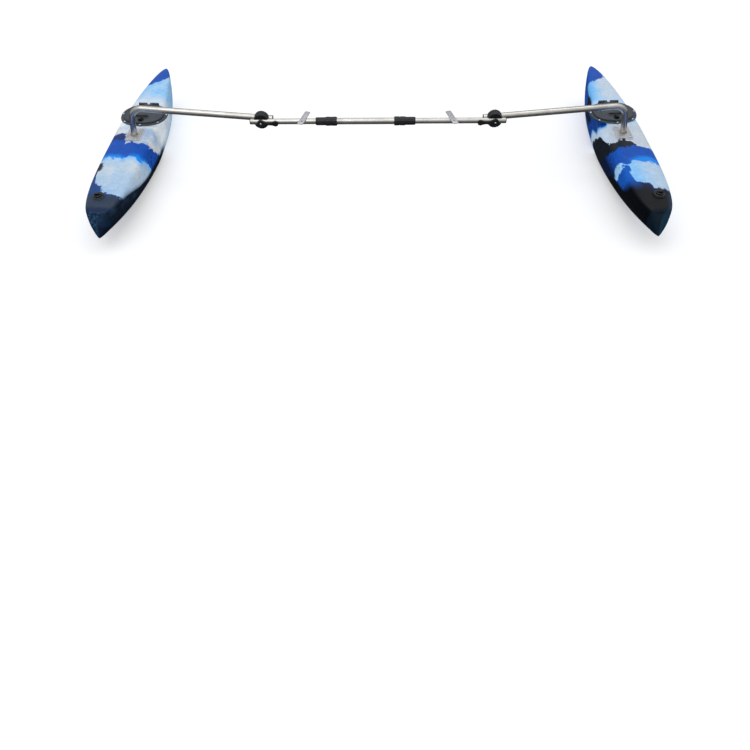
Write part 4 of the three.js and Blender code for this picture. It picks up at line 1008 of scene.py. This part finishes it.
def hatch_ring():
    """Flange with a raised lip inside, screw ears, a collar in the hull and the hinge's ears."""
    rows = [
        (79.2, 65.2, -7.7), (79.2, 65.2, 0.3), (98.6, 80.6, 0.3), (99.6, 81.6, 0.7), (100, 82, 1.5),
        (100, 82, 3.4), (99.5, 81.5, 4.3), (98.4, 80.4, 4.8), (76.6, 62.6, 4.8), (76, 62, 4.2),
        (76, 62, -7.7),
    ]
    screw_ear = turned([(6.6, 0.3), (7, 0.8), (7, 4.4), (6.4, 5.1)], sides=40)
    ears = [at(screw_ear, x, y, 0) for x, y in hatch_screw_places()]
    sinks = [at(rod(5.1, 4.2, 8, 0), x, y, 0) for x, y in hatch_screw_places()]
    for x in (-HINGE_EAR_FROM_MIDDLE, HINGE_EAR_FROM_MIDDLE):
        barrel = rod(HINGE_RADIUS, x - HINGE_EAR_WIDTH / 2, x + HINGE_EAR_WIDTH / 2, 0.6)
        foot = rounded_plate(HINGE_EAR_WIDTH, 2 * HINGE_RADIUS, 0.8, 0.3, HINGE_HEIGHT, 0.1)
        ears += [moved(barrel, HINGE_AXIS), at(foot, x, HINGE_AFT, 0)]
    window = at(rounded_plate(LATCH_NOTCH_WIDTH, 68.4, 0.5, -10, 0.3, 0), 0, -34.2, 0)
    return cut(joined(oval_stack(rows, True), *ears), window, hinge_hole, *sinks)


def hatch_lid():
    """Lid with a raised rim, a skirt, knuckles, two grooves and a well for the latch's handle."""
    rows = [
        (71.5, 57.5, 10.2), (71.5, 57.5, -1.2), (71.9, 57.9, -1.6), (74.1, 60.1, -1.6),
        (74.5, 60.5, -1.2), (74.5, 60.5, 7.4), (84, 69, 7.4), (84, 69, 5.4), (84.4, 69.4, 5.1),
        (86.5, 71.5, 5.1), (87, 72, 5.7), (87, 72, 8.2), (86.4, 71.4, 10.4), (84.9, 69.9, 12.2),
        (82.6, 67.6, 13.4), (80.2, 65.2, 13.9), (79.2, 64.2, 13.8), (78.4, 63.4, 13.1),
        (76.8, 61.8, 13.1), (76, 61, 13.5), (75.2, 60.2, 13.6), (40, 32, 13.9), (4, 3.2, LID_TOP),
    ]
    lid = oval_stack(rows)
    for side in (-1, 1):
        knuckle = moved(rod(HINGE_RADIUS, 7, 18.7, 0.6), turn("Y", 90 * side))
        knuckle = at(knuckle, 0, HINGE_AFT, HINGE_HEIGHT)
        tab = rounded_plate(11.7, 10.4, 1, 9, LID_TOP, 0.4)
        lid = joined(lid, knuckle, at(tab, 12.85 * side, HINGE_AFT - 5.2, 0))
    latch = shift(0, -LATCH_FORWARD, 0)
    well = moved(rounded_plate(62, 18, 8, 11.8, 20, 0.2), latch @ shift(0, 24.5, 0))
    thumb = moved(turned([(12, 11.6), (14.5, 14.2), (14.5, 20)]), latch)
    shaft = moved(rod(5.9, -10, 30, 0), latch)
    notch = moved(rounded_plate(LATCH_NOTCH_WIDTH, 22.4, 0.5, -1.9, 7.3, 0), latch @ shift(0, -5.6, 0))
    return cut(lid, well, thumb, shaft, notch, hinge_hole, curved_groove(-1), curved_groove(1))


def curved_groove(side):
    """A shallow groove that curves from the hinge's corner forwards over the lid."""
    rings = []
    for share in np.linspace(0, 1, 25):
        a = pi / 2 * share
        x = side * (24 + 34 * sin(a))
        y = 62 - 66 * (1 - cos(a)) - 20 * share
        across = side * 34 * cos(a)
        along = -66 * sin(a) - 13
        size = hypot(across, along)
        rings.append([(x - along / size * c, y + across / size * c, 14.2 + s) for c, s in circle(1.5, 12)])
    return loft(rings)


def latch_rotor():
    """Round latch head with two ears and its pin, a shaft and the tongue."""
    head = turned([(10.4, 0.3), (11, 0.8), (11, 1.2), (10.4, 1.7)])
    shaft = rod(5.6, -17.3, 1, 0.5)
    tongue = at(rounded_plate(9.6, 6, 0.6, -17.3, -14.3, 0.3), -4.8, 0, 0)
    ear = rounded_plate(2.6, 6, 0.5, 0.4, 7.3, 0.4)
    ears = [at(ear, x, -HANDLE_PIN_FORWARD, 0) for x in (-6.2, 6.2)]
    pin = moved(rod(1.5, -6.2, 6.2, 0.2, 24), shift(0, -HANDLE_PIN_FORWARD, HANDLE_PIN_HEIGHT) @ TO_X)
    return joined(head, shaft, tongue, *ears, pin)


def latch_handle():
    """T handle, about its pin, lying flat with its bar to the stern."""
    barrel = moved(rod(3, -4.5, 4.5, 0.4), TO_X)
    stem = at(rounded_plate(9, 28, 1.6, -1.9, 1.9, 0.8), 0, 14, 0)
    bar = at(rounded_plate(54, 9, 4.4, -1.9, 1.9, 1.1), 0, 28, 0)
    hole = moved(rod(1.8, -20, 20, 0, 24), TO_X)
    return cut(joined(bar, stem, barrel), hole)


# Drain pieces, about the middle of the boss's top
def drain_socket():
    rows = [
        (13.5, -14), (13.5, 0.3), (21.4, 0.3), (22, 0.9), (21.7, 2.2), (20.4, 3.1), (17.6, 3.3),
        (16.9, 2.9), (16.2, 3.3), (11.2, 3.3), (10.6, 2.7), (10.6, -14),
    ]
    return turned(rows, True)


def drain_plug():
    """Round plug with a straight grip across its cap."""
    rows = [
        (9.6, -14), (10.2, -13), (10.2, 5.3), (14.6, 5.3), (15, 5.8), (14.8, 8), (13.6, 9), (12, 9.3),
        (11.2, 8.9), (10.4, 7.9), (1, 7.6),
    ]
    return joined(turned(rows), rounded_plate(25, 6, 2.6, 5.6, 13.3, 1.2))


# Finishes, each a material with the record's slot that it stands for
moulded = moulded_plastic("black_satin_plastic", "black_plastic", (12, 14, 16), (22, 24, 27), 0.34, 0.5)
slate = moulded_plastic("slate_hatch_plastic", "hatch_plastic", (44, 52, 61), (56, 64, 73), 0.34, 0.5)
glossy = moulded_plastic("black_drain_plastic", "black_plastic", (8, 10, 12), (14, 16, 18), 0.1, 0.2)
matt = moulded_plastic("black_latch_plastic", "black_plastic", (6, 7, 9), (12, 14, 16), 0.32, 0.46, 0.2)
rubber = moulded_plastic("black_rubber", "rubber", (18, 18, 19), (28, 28, 29), 0.65, 0.85, 0.3, 900)
drawn = polished_steel(
    "polished_tube_steel", (202, 199, 194), (174, 172, 168), 0.16, 0.28, (0.03, 1, 1), 900
)
brushed = polished_steel(
    "brushed_plate_steel", (206, 207, 210), (178, 179, 183), 0.42, 0.6, (1, 0.04, 1), 1500
)
bright = polished_steel("bright_screw_steel", (235, 236, 238), (210, 212, 215), 0.15, 0.3, None, 500)
weld = weld_steel()
HULL_FINISHES = {"left": left_float_look(), "right": right_float_look()}
KEPT_NODES = {
    "coupler_collet": slate, "hatch_gasket": rubber, "drain_seal": rubber, "hatch_hinge_pin": bright,
}

# The pieces of a side: name, body, frame, shape, finish and the node that the piece stands for
inner_tube = tube_between(INNER_TUBE_RADIUS, INNER_TUBE_START, TUBE_END)
front_half = knuckle_half(KNUCKLE_FRONT, KNUCKLE_SPLIT, INNER_TUBE_RADIUS, 0)
back_half = knuckle_half(KNUCKLE_SPLIT + SEAT_GAP, KNUCKLE_BACK, ARM_TUBE_RADIUS, ARM_PLANE_AFT)
strap_screw = screw(4.6, 3, STRAP_THICKNESS + SEAT_GAP, rod(SCREW_RADIUS, 0, 3.4, 0.2))
foot_screw = screw(5, 2.6, SEAT_GAP, rod(SCREW_RADIUS, -PLATE_SCREW_LENGTH, 1.2, 0.5))
hatch_screw = at(screw_head(4.6, 2.2), 0, 0, 4.25)
PIECES = [
    ("coupler_sleeve", "crossbar", "coupler", coupler_body(), moulded, "coupler_body"),
    ("lock_nut", "lock_nut", "coupler", coupler_nut(), moulded, "coupler_nut"),
    ("inner_tube_bright", "extension", "half", inner_tube, drawn, "inner_tube"),
    ("inner_end_plug", "extension", "inner_plug", end_plug(INNER_TUBE_RADIUS), moulded, "inner_tube_plug"),
    ("strap_plate", "crossbar", "strap", strap(), brushed, "hold_down_strap"),
    ("strap_bolt", "crossbar", "strap", strap_screw, bright, "strap_screw"),
    ("knuckle_front", "extension", "knuckle", front_half, moulded, "knuckle_inner_half"),
    ("pivot_bolt_hex", "extension", "knuckle", pivot_bolt(), bright, "pivot_bolt"),
    ("pivot_washer_round", "extension", "knuckle", pivot_washer(), bright, "pivot_washer"),
    ("lever", "lever", "knuckle", clamp_lever(), moulded, "clamp_lever"),
    ("knuckle_back", "arm", "back_knuckle", back_half, moulded, "knuckle_outer_half"),
    ("arm_tube_bright", "arm", "arm", arm_tube(), drawn, "arm_tube"),
    ("arm_end_plug", "arm", "arm_plug", end_plug(ARM_TUBE_RADIUS), moulded, "arm_tube_plug"),
    ("foot_weld", "arm", "float", weld_bead(), weld, None),
    ("foot_plate", "arm", "float", base_plate(), brushed, "base_plate"),
]
for k in range(1, 5):
    PIECES.append((f"foot_screw_{k}", "arm", f"foot_screw_{k}", foot_screw, bright, f"plate_screw_{k}"))
PIECES += [
    ("hull", "arm", "float", float_hull(), None, "float_hull"),
    ("hatch_frame", "arm", "hatch", hatch_ring(), slate, "hatch_ring"),
]
for k in range(1, 8):
    PIECES.append((f"hatch_screw_{k}", "arm", f"hatch_screw_{k}", hatch_screw, bright, None))
PIECES += [
    ("hatch_cover", "lid", "hatch", hatch_lid(), slate, "hatch_lid"),
    ("latch_turner", "latch", "latch", latch_rotor(), matt, "latch_rotor"),
    ("latch_grip", "handle", "handle", latch_handle(), matt, "latch_handle"),
    ("drain_flange", "arm", "drain", drain_socket(), glossy, "drain_socket"),
    ("drain_stopper", "plug", "drain", drain_plug(), glossy, "drain_plug"),
]


# Building
def add(name, body, place, shape, finish, node):
    """A finished piece in its place, riding on a body and standing for a CAD node."""
    look, slot = finish
    made = as_object(moved(shape, place), name)
    made.data.shade_smooth()
    sharp = HULL_SHARP_DEGREES if slot == "float_plastic" else SHARP_DEGREES
    made.data.set_sharp_from_angle(angle=radians(sharp))
    made.data.materials.append(look)
    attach(made, body)
    if node:
        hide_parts(node)
    return made


def build_side(prefix):
    frames = side_frames(prefix)
    for name, body, place, shape, finish, node in PIECES:
        body = body if body == "crossbar" else f"{prefix}_{body}"
        node = node and f"{prefix}_{node}"
        finish = finish or HULL_FINISHES[prefix]
        made = add(f"{prefix}_{name}", body, frames[place], shape, finish, node)
        if name == "hull":
            mark_hull(made.data, [tuple(Vector(p) - Vector(HULL_PLACE)) for p in shape[0]])
    for node, (look, _) in KEPT_NODES.items():
        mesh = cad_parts[f"{prefix}_{node}"].data
        mesh.materials.clear()
        mesh.materials.append(look)


centre_tube = tube_between(CENTRE_TUBE_RADIUS, -TUBE_ENDS["left"], TUBE_ENDS["right"])
add("centre_tube_bright", "crossbar", AXIS, centre_tube, drawn, "centre_tube")
build_side("left")
build_side("right")


# Floor, light and camera
FLOOR_REACH = 9
CAMERA_PLACE = (0.0086, -2.5022, 1.4959)
CAMERA_PITCH = 51.6114
CAMERA_YAW = -0.7568
CAMERA_ROLL = 0.7086
FOCAL_PIXELS = 670.75
PHOTO_PIXELS = 750
SENSOR_WIDTH = 36


def stage_floor():
    """A pale floor that glows a little, and that looks dark in the mirroring steel."""
    corners = [(x * FLOOR_REACH, y * FLOOR_REACH, 0) for x, y in ((-1, -1), (1, -1), (1, 1), (-1, 1))]
    floor = as_object((corners, [(0, 1, 2, 3)]), "floor")
    look = Look("pale_floor", Roughness=0.9)
    mirrored = look.node("ShaderNodeLightPath").outputs["Is Glossy Ray"]
    look.set("Base Color", look.mix(mirrored, (206, 207, 208), (40, 42, 44)))
    look.set("Emission Color", (252, 253, 255))
    look.set("Emission Strength", look.times(look.minus(1, mirrored), 0.4))
    floor.data.materials.append(look.material)


def area_light(name, place, size, power):
    data = bpy.data.lights.new(name, "AREA")
    data.shape = "RECTANGLE"
    data.size, data.size_y = size
    data.energy = power
    light = bpy.data.objects.new(name, data)
    light.location = place
    aim = Vector((0, 0, 0.1)) - Vector(place)
    light.rotation_euler = aim.to_track_quat("-Z", "Y").to_euler()
    SCENE.collection.objects.link(light)


def soft_studio():
    """A pale sky that is brighter overhead, and two soft lamps for the long highlights."""
    world = bpy.data.worlds.new("studio")
    world.use_nodes = True
    tree = world.node_tree
    background = tree.nodes["Background"]
    place = tree.nodes.new("ShaderNodeTexCoord")
    split = tree.nodes.new("ShaderNodeSeparateXYZ")
    ramp = tree.nodes.new("ShaderNodeMapRange")
    for name, value in (("From Min", 0.3), ("From Max", 0.95), ("To Min", 0.46), ("To Max", 1.22)):
        ramp.inputs[name].default_value = value
    tree.links.new(place.outputs["Generated"], split.inputs[0])
    tree.links.new(split.outputs["Z"], ramp.inputs["Value"])
    tree.links.new(ramp.outputs[0], background.inputs["Strength"])
    background.inputs["Color"].default_value = (0.985, 0.99, 1.0, 1)
    SCENE.world = world
    SCENE.view_settings.view_transform = "Standard"
    area_light("high_key", (-1.2, -1.6, 3.6), (3.2, 2.2), 26)
    area_light("top_fill", (0.3, 0.9, 3.8), (3.4, 1.2), 16)


def photo_camera():
    """The camera from where the photograph was taken, measured from the crossbar's axis."""
    data = bpy.data.cameras.new("photo_camera")
    data.sensor_width = SENSOR_WIDTH
    data.lens = FOCAL_PIXELS / PHOTO_PIXELS * SENSOR_WIDTH
    camera = bpy.data.objects.new("photo_camera", data)
    turned_to = turn("Z", -CAMERA_YAW) @ turn("X", 90 - CAMERA_PITCH) @ turn("Z", -CAMERA_ROLL)
    camera.matrix_world = shift(*(AXIS.translation + Vector(CAMERA_PLACE))) @ turned_to
    SCENE.collection.objects.link(camera)
    SCENE.camera = camera


stage_floor()
soft_studio()
photo_camera()
